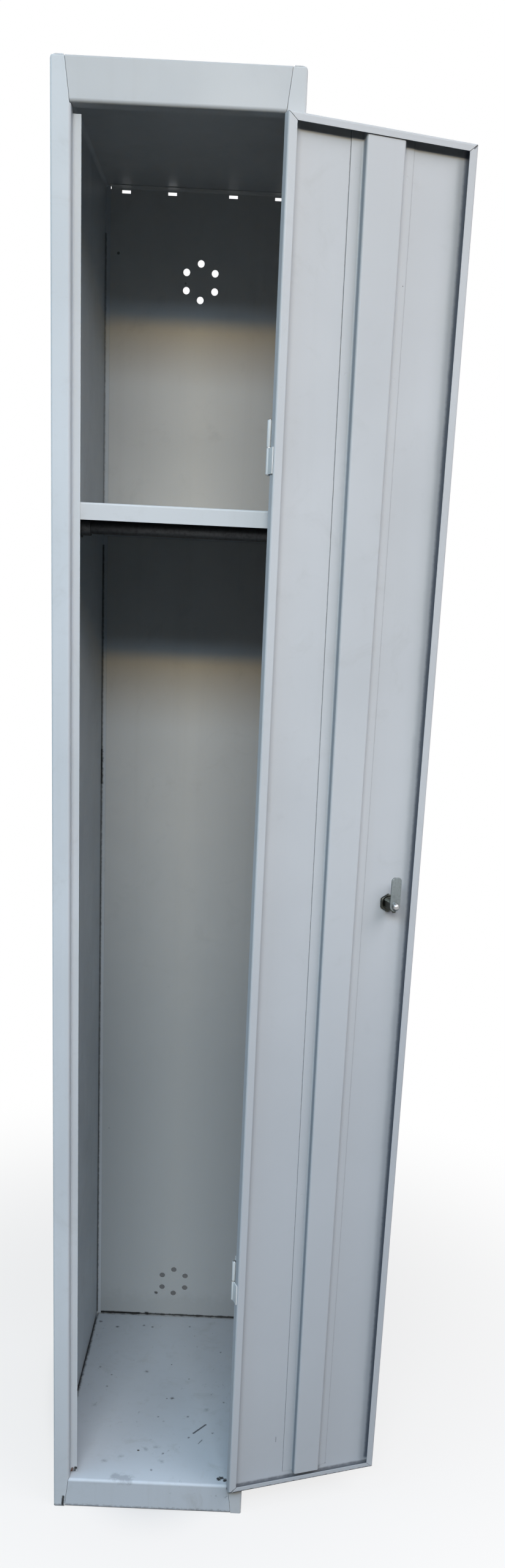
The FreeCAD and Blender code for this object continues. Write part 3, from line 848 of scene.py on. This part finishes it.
class Dresser:
    """Gives pieces and CAD nodes their bodies and finishes."""

    @staticmethod
    def node(name: str, material: bpy.types.Material) -> None:
        """Paint a CAD node.

        Args:
            name: Node name.
            material: Its finish.
        """
        obj = frame["nodes"][name]
        if not obj.data.materials:
            obj.data.materials.append(material)
        for slot in obj.material_slots:
            slot.material = material

    @staticmethod
    def piece(
        obj: bpy.types.Object, material: bpy.types.Material, body: Body, slot: Slot, *nodes: str
    ) -> None:
        """Finish a new piece.

        Args:
            obj: The piece.
            material: Its finish.
            body: The body that it rides on.
            slot: The record's slot; not used.
            nodes: CAD nodes that it stands for.
        """
        obj.data.materials.clear()
        obj.data.materials.append(material)
        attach(obj, body.value)
        if nodes:
            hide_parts(*nodes)


class Assembly:
    """A sub-part of the locker, first modelled and then finished."""

    def build(self) -> None:
        """Model finer pieces; an assembly of CAD panels alone has none."""

    def dress(self) -> None:
        """Give each piece its finish."""
        raise NotImplementedError


@dataclass
class Cabinet(Assembly):
    """Folded carcass: two sides, back, roof, floor and hat shelf.

    Attributes:
        rear: Inner face of the back panel.
        inner: Half width between the side walls.
        front: Plane of the front frame.
        weld_heights: Heights of the weld rows under the shelf and the floor.
        weld_run: First and last weld of a row, from the front.
    """

    rear: float = 0.4391
    inner: float = 0.1342
    front: float = -0.010
    weld_heights: tuple[float, float] = (1.353, 0.0365)
    weld_run: tuple[float, float] = (0.045, 0.405)

    def dress(self) -> None:
        """Paint each panel with its own marks."""
        welds = self.side_welds()
        # Painted light: the panels share one grey paint, tinted lighter and bluer on the sides, bluer on the
        # floor,
        # lighter and warmer on the back and darker on the roof.
        panels = {
            "left_side_panel": Enamel(
                "enamel_sides", (0.484, 0.512, 0.536), sheen=0.12, specks=0.04,
                marks=self.frame_marks(), welds=welds,
            ),
            "right_side_panel": Enamel("enamel_hinge_side", sheen=0.12, specks=0.04, welds=welds),
            "back_panel": Enamel(
                "enamel_back", (0.530, 0.532, 0.522), sheen=0.08, grime=0.30, specks=0.02,
                marks=self.back_marks(),
            ),
            "top_panel": Enamel(
                "enamel_roof", (0.425, 0.440, 0.452), sheen=0.12, grime=0.3, specks=0.06, chips=0.6
            ),
            "base_panel": Enamel(
                "enamel_floor", (0.444, 0.476, 0.508), gloss=0.46, grime=0.55, specks=0.4, scuffs=1.0,
                marks=self.floor_marks(),
            ),
            "hat_shelf": Enamel("enamel_shelf", grime=0.4, specks=0.1),
        }
        for node, paint in panels.items():
            Dresser.node(node, paint.build())

    def side_welds(self) -> tuple[WeldRow, ...]:
        """Place the spot welds that hold the shelf and the floor to the sides.

        Returns:
            The rows, on both side walls.
        """
        wall = self.inner + STEEL / 2
        first, last = self.weld_run
        rows = []
        for side in (-wall, wall):
            for height in self.weld_heights:
                rows.append(WeldRow((side, first, height), (side, last, height), count=5))
        return tuple(rows)

    def frame_marks(self) -> tuple[Mark, ...]:
        """Place the dirt and rust at the foot of the left frame and the soot in the rear corner.

        Returns:
            The marks.
        """
        corner = (-0.1332, 0.4375)
        foot = ((-0.1076, 0.006, 0.0495), (-0.1115, 0.004, 0.0480), (-0.1060, 0.006, 0.0530))
        return (
            Line((-0.1224, self.front, 0.003), (-0.1214, self.front, 0.016), 0.0030, SOOT, 0.95, 0.5, 420.0),
            Spots(foot, 0.0034, SOOT, 0.95),
            Line((-0.1130, 0.006, 0.047), (-0.1110, 0.006, 0.052), 0.0034, RUST, 0.85, 0.8, 300.0),
            Line((-0.1345, self.front, 0.0), (-0.1130, self.front, 0.0), 0.0050, DIRT, 0.6, 0.7, 240.0),
            Line((*corner, 0.05), (*corner, 1.33), 0.0026, SOOT, 0.8, 0.4),
            Line((*corner, 1.37), (*corner, 1.74), 0.0022, SOOT, 0.6, 0.4),
            Line((*corner, 0.98), (*corner, 1.03), 0.0034, SOOT, 0.8, 0.8, 200.0),
        )

    def back_marks(self) -> tuple[Mark, ...]:
        """Place the painted shade on the lower part of the back panel and the dirt along its foot.

        Returns:
            The marks.
        """
        foot = FLOOR_TOP + 0.002
        left, right = (-self.inner, self.rear), (self.inner, self.rear)
        lower_back_shade = (0.372, 0.398, 0.412)
        spots = ((-0.0460, self.rear, 0.0490), (-0.0300, self.rear, 0.0900))
        return (
            # Painted shade: the back panel turns darker and bluer towards the bottom.
            Line((*left, 0.2), (*right, 0.2), 0.95, lower_back_shade, 0.8, 0.1, 9.0),
            Line((*left, foot), (*right, foot), 0.0029, SOOT, 0.9, 0.7, 120.0),
            Line((-0.124, self.rear, foot), (-0.060, self.rear, foot), 0.0032, SOOT, 0.8, 1.2, 90.0),
            Line((*left, 0.06), (*right, 0.06), 0.040, DIRT, 0.10, 0.7, 60.0),
            Spots(spots, 0.0040, SOOT, 0.8),
        )

    def floor_marks(self) -> tuple[Mark, ...]:
        """Place the stains and scratches on the floor.

        Returns:
            The marks.
        """
        top = FLOOR_TOP
        grey = (0.13, 0.135, 0.145)
        blots = ((-0.0293, 0.2653), (-0.1228, 0.4110), (-0.0461, 0.4033), (0.0184, 0.1945), (-0.0921, 0.3957))
        rubs = ((-0.0467, 0.0467), (-0.0685, 0.0340), (-0.0116, 0.0663), (0.0044, 0.0717), (-0.1005, 0.1696),
                (0.0155, 0.0382), (0.0743, 0.1678))
        pits = ((0.0157, 0.0566), (0.0005, 0.1452), (0.0468, 0.1485), (0.0512, 0.0970), (0.1003, 0.1890),
                (0.0327, 0.4057), (0.0020, 0.0180), (-0.0880, 0.2200), (0.0870, 0.1100), (0.0900, 0.3300))
        rusty = ((0.1042, 0.0068), (0.1098, 0.0018), (0.1010, 0.0040))
        return (
            Line((-self.inner, self.rear, top), (self.inner, self.rear, top), 0.0036, SOOT, 0.75, 0.8, 110.0),
            Line((-0.130, self.rear, top), (-0.060, self.rear, top), 0.0044, SOOT, 0.85, 1.2, 90.0),
            Line((-self.inner, 0.0, top), (-self.inner, self.rear, top), 0.006, SOOT, 0.85, 0.5, 160.0),
            Line((0.0579, 0.1079, top), (0.0754, 0.1304, top), 0.0022, (0.04, 0.04, 0.045), 0.9, 0.5, 500.0),
            Line((0.0669, 0.0833, top), (0.0719, 0.0925, top), 0.0014, grey, 0.8, 0.6, 500.0),
            Line((-0.048, 0.000, top), (-0.030, -0.003, top), 0.0110, grey, 0.40, 1.1, 130.0),
            Spots(on_floor(blots), 0.0044, (0.05, 0.05, 0.055), 0.75, 0.0),
            Spots(on_floor(rubs), 0.0066, grey, 0.6, -0.6),
            Spots(on_floor(pits), 0.0028, (0.06, 0.06, 0.065), 0.7, 0.0),
            Spots(on_floor(rusty), 0.0042, SOOT, 0.95),
            Line((-0.129, self.front, 0.0), (0.129, self.front, 0.0), 0.006, DIRT, 0.55, 0.8, 200.0),
            Line((-0.1205, self.front, 0.003), (-0.1195, self.front, 0.017), 0.0022, SOOT, 0.95, 0.4, 400.0),
        )


@dataclass
class Rail(Assembly):
    """Hanging rail and its two sockets."""

    sides: tuple[str, ...] = ("left", "right")

    def build(self) -> None:
        """Round the lips of the sockets."""
        self.sockets = [Shop.copy_node(f"rail_socket_{side}", f"rail_cup_{side}") for side in self.sides]
        for socket in self.sockets:
            Shop.soften(socket, width=0.0004)

    def dress(self) -> None:
        """Give the tube and sockets a dark zinc, darkened further as painted shade under the shelf."""
        drawn = (40.0, 900.0, 900.0)
        # Painted shade: the zinc is tinted far darker than bare zinc, so the rail sits in the shade under the
        # shelf.
        tube = Plated("zinc_tube", (0.062, 0.065, 0.068), (0.035, 0.036, 0.038), 0.46, 0.5, drawn)
        Dresser.node("hanging_rail", tube.build())
        cup = Plated("zinc_pressing", (0.070, 0.073, 0.076), (0.040, 0.041, 0.043), 0.46, 0.6).build()
        for socket, side in zip(self.sockets, self.sides):
            Dresser.piece(socket, cup, Body.CABINET, Slot.ZINC, f"rail_socket_{side}")


@dataclass
class Hinges(Assembly):
    """Two painted barrel hinges with their pins and washers."""

    places: tuple[str, ...] = ("upper", "lower")

    def build(self) -> None:
        """Round the rims of the barrels."""
        self.leaves: list[tuple[bpy.types.Object, Body, str]] = []
        for place in self.places:
            for kind, body in (("frame", Body.CABINET), ("door", Body.DOOR)):
                node = f"{place}_hinge_{kind}_leaf"
                leaf = Shop.copy_node(node, f"{place}_{kind}_barrel")
                Shop.soften(leaf, width=0.0006, steps=4, angle=40.0)
                self.leaves.append((leaf, body, node))

    def dress(self) -> None:
        """Paint the leaves and plate the pins."""
        # Painted light: the hinge paint is a lighter grey than the panels' paint.
        paint = Enamel("enamel_hinges", (0.560, 0.576, 0.576), grime=0.4, chips=0.8, specks=0.1).build()
        for leaf, body, node in self.leaves:
            Dresser.piece(leaf, paint, body, Slot.PAINT, node)
        zinc = Plated("zinc_pins", (0.50, 0.51, 0.52), (0.24, 0.23, 0.22), 0.34, 0.7).build()
        for place in self.places:
            Dresser.node(f"{place}_hinge_pin", zinc)
            Dresser.node(f"{place}_hinge_washer", zinc)


@dataclass
class Door(Assembly):
    """Folded door tray and its stiffening channel.

    Attributes:
        bottom: Height of the lower edge.
        top: Height of the upper edge.
        width: Width of the tray.
    """

    bottom: float = 0.0487
    top: float = 1.7525
    width: float = 0.222

    @staticmethod
    def inside(across: float, height: float) -> Point:
        """Place a point on the tray's inner face.

        Args:
            across: Distance from the hinge edge, in metres.
            height: Height above the ground, in metres.

        Returns:
            The point in the row frame.
        """
        return on_door(across, STEEL, height)

    def dress(self) -> None:
        """Paint the tray and channel, with painted shade towards the foot and on the channel's left wall."""
        # Painted shade: the tray and channel turn darker and bluer towards the foot, and the channel's left
        # wall is darkened.
        lower_shade_tone, shadow = (0.370, 0.395, 0.425), (0.11, 0.15, 0.19)
        lower_shade = Line(self.inside(0.0, 0.15), self.inside(self.width, 0.15), 1.0, lower_shade_tone, 0.6, 0.1, 9.0)
        tray = Enamel("enamel_door", DOOR_PAINT, grime=0.25, specks=0.03, marks=(lower_shade, *self.marks()))
        Dresser.node("door_panel", tray.build())
        low, high = on_door(0.0981, 0.0066, 0.060), on_door(0.0903, 0.0066, 1.747)
        wall = Line(low, high, 0.0060, shadow, 0.62, 0.1)
        channel = Enamel(
            "enamel_channel", DOOR_PAINT, grime=0.22, specks=0.03, marks=(lower_shade, wall), welds=self.welds()
        )
        Dresser.node("door_stiffener", channel.build())

    def marks(self) -> tuple[Mark, ...]:
        """Place the dirt, scratches, seams and painted shade by the channel's edges and the tray's free lip.

        Returns:
            The marks.
        """
        edge, floor = self.bottom + 0.0004, self.bottom + 0.0015
        foot, head = self.bottom + 0.0115, self.top - 0.0050
        lip, end = self.width - 0.005, self.width
        rim = 0.0140
        seam_and_edge_shade, shade = (0.075, 0.078, 0.085), (0.075, 0.090, 0.120)
        gutter, gap_shade = (0.030, 0.034, 0.042), (0.04, 0.045, 0.055)
        near, far = on_door(0.002, 0.003, floor), on_door(end - 0.002, 0.003, floor)
        return (
            Line(on_door(0.0, rim, edge), on_door(end, rim, edge), 0.0026, SOOT, 0.95, 0.9, 220.0),
            Line(near, far, 0.0052, gutter, 0.85, 0.25, 120.0),
            # Painted shade in the gap under the foot of the channel.
            Line(self.inside(0.103, foot - 0.004), self.inside(0.139, foot - 0.004), 0.0050, gap_shade, 0.7, 0.5),
            Line(self.inside(0.2168, foot), self.inside(0.2168, head), 0.0062, shade, 0.85, 0.2),
            Line(self.inside(0.2120, foot), self.inside(0.2120, head), 0.0110, shade, 0.22, 0.3, 30.0),
            # Painted shade of the narrow gaps along the channel's flange edges and at their feet; the same
            # colour marks seams, a scratch and a weld.
            Line(self.inside(0.0851, foot), self.inside(0.0767, head), 0.0012, seam_and_edge_shade, 0.6, 0.5),
            Line(self.inside(0.1512, foot), self.inside(0.1512, head), 0.0010, seam_and_edge_shade, 0.22, 0.8),
            Line(self.inside(0.0853, foot), self.inside(0.0985, foot), 0.0013, seam_and_edge_shade, 0.8, 0.4),
            Line(self.inside(0.1378, foot), self.inside(0.1511, foot), 0.0013, seam_and_edge_shade, 0.8, 0.4),
            Line(self.inside(0.0720, 0.120), self.inside(0.0720, 0.112), 0.0009, seam_and_edge_shade, 0.6),
            Line(on_door(end, 0.0135, 0.118), on_door(end, 0.0135, 0.140), 0.0016, seam_and_edge_shade, 0.6),
            Line(on_door(0.0, rim, self.bottom), on_door(0.011, rim, self.bottom + 0.009), 0.0010, seam_and_edge_shade, 0.8),
            Line(on_door(end, rim, self.top), on_door(lip, rim, self.top - 0.005), 0.0012, seam_and_edge_shade, 0.8),
            Spots((self.inside(0.0785, 1.728),), 0.0014, seam_and_edge_shade),
        )

    def welds(self) -> tuple[WeldRow, ...]:
        """Place the spot welds along both flanges of the channel.

        Returns:
            The rows.
        """
        rows = []
        for foot, head in ((0.0920, 0.0840), (0.1445, 0.1445)):
            low = on_door(foot, 2.0 * STEEL, self.bottom + 0.045)
            rows.append(WeldRow(low, on_door(head, 2.0 * STEEL, self.top - 0.040), count=9, radius=0.0020))
        return tuple(rows)


@dataclass
class CamLock(Assembly):
    """Quarter-turn cam lock through the door.

    Attributes:
        body_length: Length of the threaded sleeve behind the door's outer face.
        body_radius: Radius over the thread.
        flats: Distance across the sleeve's two flats.
        bore: Radius of the sleeve's bore.
        pitch: Pitch of the thread.
        sides: Points round each turned piece.
    """

    body_length: float = 0.0215
    body_radius: float = 0.0080
    flats: float = 0.0130
    bore: float = 0.00556
    pitch: float = 0.0010
    sides: int = 72

    def build(self) -> None:
        """Model the threaded sleeve, the nut and the softened cam."""
        self.housing = self.make_housing()
        self.nut = self.make_nut()
        self.cam = Shop.copy_node("lock_cam", "cam_arm")
        Shop.soften(self.cam, width=0.0005, steps=4, angle=40.0)
        self.stop = Shop.copy_node("lock_stop_plate", "cam_stop")
        Shop.soften(self.stop, width=0.0002, steps=2, angle=40.0)
        self.cap = Shop.copy_node("cam_nut", "cam_cap_nut")
        Shop.soften(self.cap, width=0.0002, steps=3, angle=45.0)

    def make_housing(self) -> bpy.types.Object:
        """Turn the sleeve with its thread and the bezel with its rolled rim.

        Returns:
            The joined housing.
        """
        rings = [(self.bore, 0.0), (self.body_radius - 0.0005, 0.0)]
        turns = int((self.body_length - 0.0012) / self.pitch)
        for index in range(turns):
            start = 0.0008 + index * self.pitch
            rings.append((self.body_radius - 0.00045, start))
            rings.append((self.body_radius, start + 0.45 * self.pitch))
            rings.append((self.body_radius, start + 0.55 * self.pitch))
        rings.append((self.body_radius - 0.0005, self.body_length - 0.0002))
        rings.append((self.body_radius - 0.0008, self.body_length))
        rings.append((self.bore + 0.0002, self.body_length))
        rings.append((self.bore, self.body_length - 0.0003))
        sleeve = Shop.lathe("lock_sleeve", rings, self.sides)
        half = self.flats / 2
        Shop.cut(sleeve, (half, 0.0, 0.0), (1.0, 0.0, 0.0))
        Shop.cut(sleeve, (-half, 0.0, 0.0), (-1.0, 0.0, 0.0))
        bezel = Shop.lathe("lock_bezel", self.bezel_rings(), self.sides)
        Shop.pick(sleeve, bezel)
        bpy.ops.object.join()
        housing = bpy.context.object
        housing.name = housing.data.name = "lock_shell"
        Shop.point_along(housing, LOCK_CENTRE, LOCK_AXIS)
        bpy.ops.object.shade_smooth_by_angle(angle=math.radians(35.0))
        return housing

    def bezel_rings(self) -> list[tuple[float, float]]:
        """Give the profile of the bezel in front of the door.

        Returns:
            Radius and height of each ring.
        """
        return [
            (self.bore, 0.0), (0.0098, 0.0), (0.0100, -0.0003), (0.0100, -0.0011), (0.0097, -0.0017),
            (0.0091, -0.0021), (0.0083, -0.0022), (0.0073, -0.0022), (0.00695, -0.0020), (0.00688, -0.0016),
            (0.00688, -0.0007), (self.bore, -0.0007),
        ]

    def make_nut(self) -> bpy.types.Object:
        """Cut a chamfered hexagon nut.

        Returns:
            The nut in its place.
        """
        low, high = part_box("lock_nut")
        thick, across = 0.0045, 0.020
        corner = across / 2 / math.cos(math.radians(30.0))
        bpy.ops.object.select_all(action="DESELECT")
        middle = (0.0, 0.0, thick / 2)
        bpy.ops.mesh.primitive_cylinder_add(vertices=6, radius=corner, depth=thick, location=middle)
        nut = bpy.context.object
        nut.name = nut.data.name = "lock_hex_nut"
        bpy.ops.object.transform_apply(location=True, rotation=True, scale=True)
        face, mouth, hole, outer = 0.0098, 0.0082, 0.0078, corner + 0.0001
        chamfer, lead = 0.0010, 0.0004
        rings = [(mouth, 0.0), (face, 0.0), (outer, chamfer), (outer, thick - chamfer),
                 (face, thick), (mouth, thick), (hole, thick - lead), (hole, lead)]
        Shop.carve(nut, Shop.lathe("nut_blank", rings, self.sides), "INTERSECT")
        Shop.soften(nut, width=0.00015, steps=2, angle=25.0)
        start = ((low + high) / 2 - LOCK_CENTRE).dot(LOCK_AXIS) - thick / 2
        Shop.point_along(nut, LOCK_CENTRE + LOCK_AXIS * start, LOCK_AXIS)
        return nut

    def dress(self) -> None:
        """Give each piece of the lock its metal."""
        even, fine = (500.0, 500.0, 500.0), (400.0, 400.0, 400.0)
        drawn = (500.0, 500.0, 120.0)
        nickel = Plated("lock_nickel", (0.74, 0.74, 0.73), (0.34, 0.34, 0.33), 0.14, 0.35, even).build()
        oxide = Plated("black_oxide", (0.055, 0.058, 0.050), (0.020, 0.021, 0.019), 0.38, 0.6, fine).build()
        zinc = Plated("cam_zinc", (0.20, 0.228, 0.234), (0.13, 0.148, 0.152), 0.42, 0.6, drawn).build()
        domed = Plated("cap_zinc", (0.40, 0.405, 0.410), (0.16, 0.16, 0.165), 0.24, 0.35, even).build()
        brass = Plated("wafer_brass", (0.62, 0.44, 0.17), (0.33, 0.22, 0.09), 0.28, 0.5).build()
        Dresser.piece(self.housing, oxide, Body.DOOR, Slot.PLATE, "lock_housing")
        Dresser.piece(self.nut, oxide, Body.DOOR, Slot.DARK, "lock_nut")
        Dresser.piece(self.cam, zinc, Body.LOCK, Slot.CAM, "lock_cam")
        Dresser.piece(self.stop, oxide, Body.LOCK, Slot.DARK, "lock_stop_plate")
        Dresser.piece(self.cap, domed, Body.LOCK, Slot.PLATE, "cam_nut")
        Dresser.node("lock_plug", nickel)
        Dresser.node("lock_wafers", brass)


@dataclass(frozen=True)
class SoftBox:
    """One rectangular soft light.

    Attributes:
        name: Light name.
        centre: Middle of the panel.
        size: Width and height of the panel.
        aim: Direction that it faces.
        colour: Light colour.
        watts: Power.
    """

    name: str
    centre: Point
    size: tuple[float, float]
    aim: Point
    colour: Rgb
    watts: float

    def hang(self) -> None:
        """Add the light, hidden from the camera."""
        bpy.ops.object.select_all(action="DESELECT")
        bpy.ops.object.light_add(type="AREA", location=self.centre)
        lamp = bpy.context.object
        lamp.name = lamp.data.name = self.name
        lamp.data.shape = "RECTANGLE"
        lamp.data.size, lamp.data.size_y = self.size
        lamp.data.energy, lamp.data.color = self.watts, self.colour
        lamp.rotation_euler = Vector(self.aim).to_track_quat("-Z", "Y").to_euler()
        lamp.visible_camera = False


AHEAD: Point = (0.0, 1.0, 0.0)
DOWN: Point = (0.0, 0.0, -1.0)
LIGHTS = (
    SoftBox("warm_strip", (0.0, -3.58, 2.7525), (2.0, 0.165), AHEAD, (1.0, 0.735, 0.330), 56.0),
    SoftBox("cool_strip", (0.0, -3.58, 2.5850), (2.0, 0.170), AHEAD, (0.613, 0.793, 1.0), 18.0),
    SoftBox("front_panel", (0.0, -2.94, 2.8350), (2.0, 1.280), DOWN, (0.620, 0.790, 1.0), 154.0),
    SoftBox("right_panel", (2.0, -1.60, 2.8350), (2.0, 2.800), DOWN, (0.945, 0.934, 1.0), 99.6),
    SoftBox("left_panel", (-2.0, -1.60, 2.8350), (2.0, 2.800), DOWN, (0.528, 0.782, 1.0), 73.6),
)


@dataclass
class Studio:
    """Pale floor, soft light and the photograph's camera.

    Attributes:
        floor_radius: Radius of the floor.
        fill: Colour of the soft fill from behind.
        fill_level: Strength of that fill.
        shade_centre: Middle of the soft shade on the floor.
        shade_radii: Half width and half depth of that shade.
        footprint: Half width, front and rear of the locker's foot.
        camera_place: Where the camera stands.
        camera_turn: Its yaw, pitch and roll, in degrees.
        camera_lens: Its focal length, in millimetres.
        camera_shift: Its shift across and up.
    """

    floor_radius: float = 14.0
    fill: Rgb = (0.94, 0.97, 1.0)
    fill_level: float = 1.0
    shade_centre: Point = (0.0, 0.45, 0.0)
    shade_radii: tuple[float, float] = (0.16, 0.40)
    footprint: Point = (0.130, -0.008, 0.45)
    camera_place: Point = (0.129314, -1.571776, 1.264689)
    camera_turn: Point = (0.458, -16.689, 2.752)
    camera_lens: float = 29.554
    camera_shift: tuple[float, float] = (-0.0116, 0.1289)

    def build(self) -> None:
        """Set up the whole stage."""
        self.make_floor()
        self.make_world()
        for light in LIGHTS:
            light.hang()
        self.make_camera()
        bpy.context.scene.view_settings.view_transform = "Standard"

    def make_floor(self) -> None:
        """Lay the pale floor, with a soft shade painted on it, which throws little light back."""
        bpy.ops.object.select_all(action="DESELECT")
        bpy.ops.mesh.primitive_circle_add(vertices=96, radius=self.floor_radius, fill_type="NGON")
        floor = bpy.context.object
        floor.name = floor.data.name = "studio_floor"
        material, graph = new_material("studio_floor")
        where = graph.place()
        middle = graph.vector("SUBTRACT", where, self.shade_centre)
        wide, deep = self.shade_radii
        oval = graph.vector("MULTIPLY", middle, (1 / wide, 1 / deep, 0.0))
        half, front, rear = self.footprint
        depth = graph.axis(where, "Y")
        aside = graph.step(graph.math("ABSOLUTE", graph.axis(where, "X")), half, half + 0.005)
        ahead = graph.step(depth, front, front + 0.008, 1.0, 0.0)
        behind = graph.step(depth, rear - 0.01, rear)
        outside = graph.math("MAXIMUM", graph.math("MAXIMUM", aside, ahead), behind)
        clear = graph.math("MINIMUM", graph.step(graph.measure("LENGTH", oval), 0.70, 1.35), outside)
        pale = graph.mix(graph.noise(where, 3.0), (0.44, 0.44, 0.44), (0.45, 0.45, 0.45))
        ground = graph.mix(clear, (0.13, 0.13, 0.13), pale)
        lit = graph.add("ShaderNodeBsdfDiffuse", {"Color": ground}).outputs[0]
        white = graph.add("ShaderNodeEmission", {"Color": (1.0, 1.0, 1.0), "Strength": 1.0}).outputs[0]
        away = graph.step(graph.measure("LENGTH", middle), 0.3, 1.2, 0.75, 1.0)
        glow = graph.math("MULTIPLY", away, clear)
        shown = graph.add("ShaderNodeMixShader", {0: glow, 1: lit, 2: white}).outputs[0]
        dark = graph.add("ShaderNodeBsdfDiffuse", {"Color": (0.018, 0.019, 0.017)}).outputs[0]
        graph.close(graph.add("ShaderNodeMixShader", {0: graph.seen(), 1: dark, 2: shown}))
        floor.data.materials.append(material)

    def make_world(self) -> None:
        """Make a white backdrop for the camera and a soft fill from behind for the light."""
        world = bpy.data.worlds.new("studio_world")
        world.use_nodes = True
        bpy.context.scene.world = world
        graph = Graph(world.node_tree)
        direction = graph.add("ShaderNodeTexCoord").outputs["Generated"]
        level = graph.step(graph.axis(direction, "Y"), 0.05, 0.45, 0.0, self.fill_level)
        fill = graph.add("ShaderNodeBackground", {"Color": self.fill, "Strength": level}).outputs[0]
        white = graph.add("ShaderNodeBackground", {"Color": (1.0, 1.0, 1.0), "Strength": 1.0}).outputs[0]
        both = graph.add("ShaderNodeMixShader", {0: graph.seen(), 1: fill, 2: white})
        graph.close(both, "ShaderNodeOutputWorld")

    def make_camera(self) -> None:
        """Stand the camera where the photograph was taken."""
        yaw, pitch, roll = (math.radians(v) for v in self.camera_turn)
        forward = Vector((math.sin(yaw) * math.cos(pitch), math.cos(yaw) * math.cos(pitch), math.sin(pitch)))
        level = Vector((math.cos(yaw), -math.sin(yaw), 0.0))
        upward = level.cross(forward)
        right = level * math.cos(roll) + upward * math.sin(roll)
        up = upward * math.cos(roll) - level * math.sin(roll)
        turn = Matrix((right, up, -forward)).transposed().to_4x4()
        data = bpy.data.cameras.new("camera")
        data.lens = self.camera_lens
        data.shift_x, data.shift_y = self.camera_shift
        camera = bpy.data.objects.new("camera", data)
        bpy.context.scene.collection.objects.link(camera)
        camera.matrix_world = Matrix.Translation(self.camera_place) @ turn
        bpy.context.scene.camera = camera


def clear_startup() -> None:
    """Remove the objects of Blender's start-up scene."""
    bpy.ops.object.select_all(action="DESELECT")
    for name in ("Cube", "Light", "Camera"):
        if name in bpy.data.objects:
            bpy.data.objects[name].select_set(True)
    bpy.ops.object.delete()


def main() -> None:
    """Build the scene."""
    logging.basicConfig(level=logging.INFO, format="%(message)s")
    clear_startup()
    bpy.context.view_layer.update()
    Studio().build()
    for assembly in (Cabinet(), Rail(), Hinges(), Door(), CamLock()):
        assembly.build()
        assembly.dress()
        LOG.info("made %s", type(assembly).__name__)


if __name__ == "__main__":
    main()
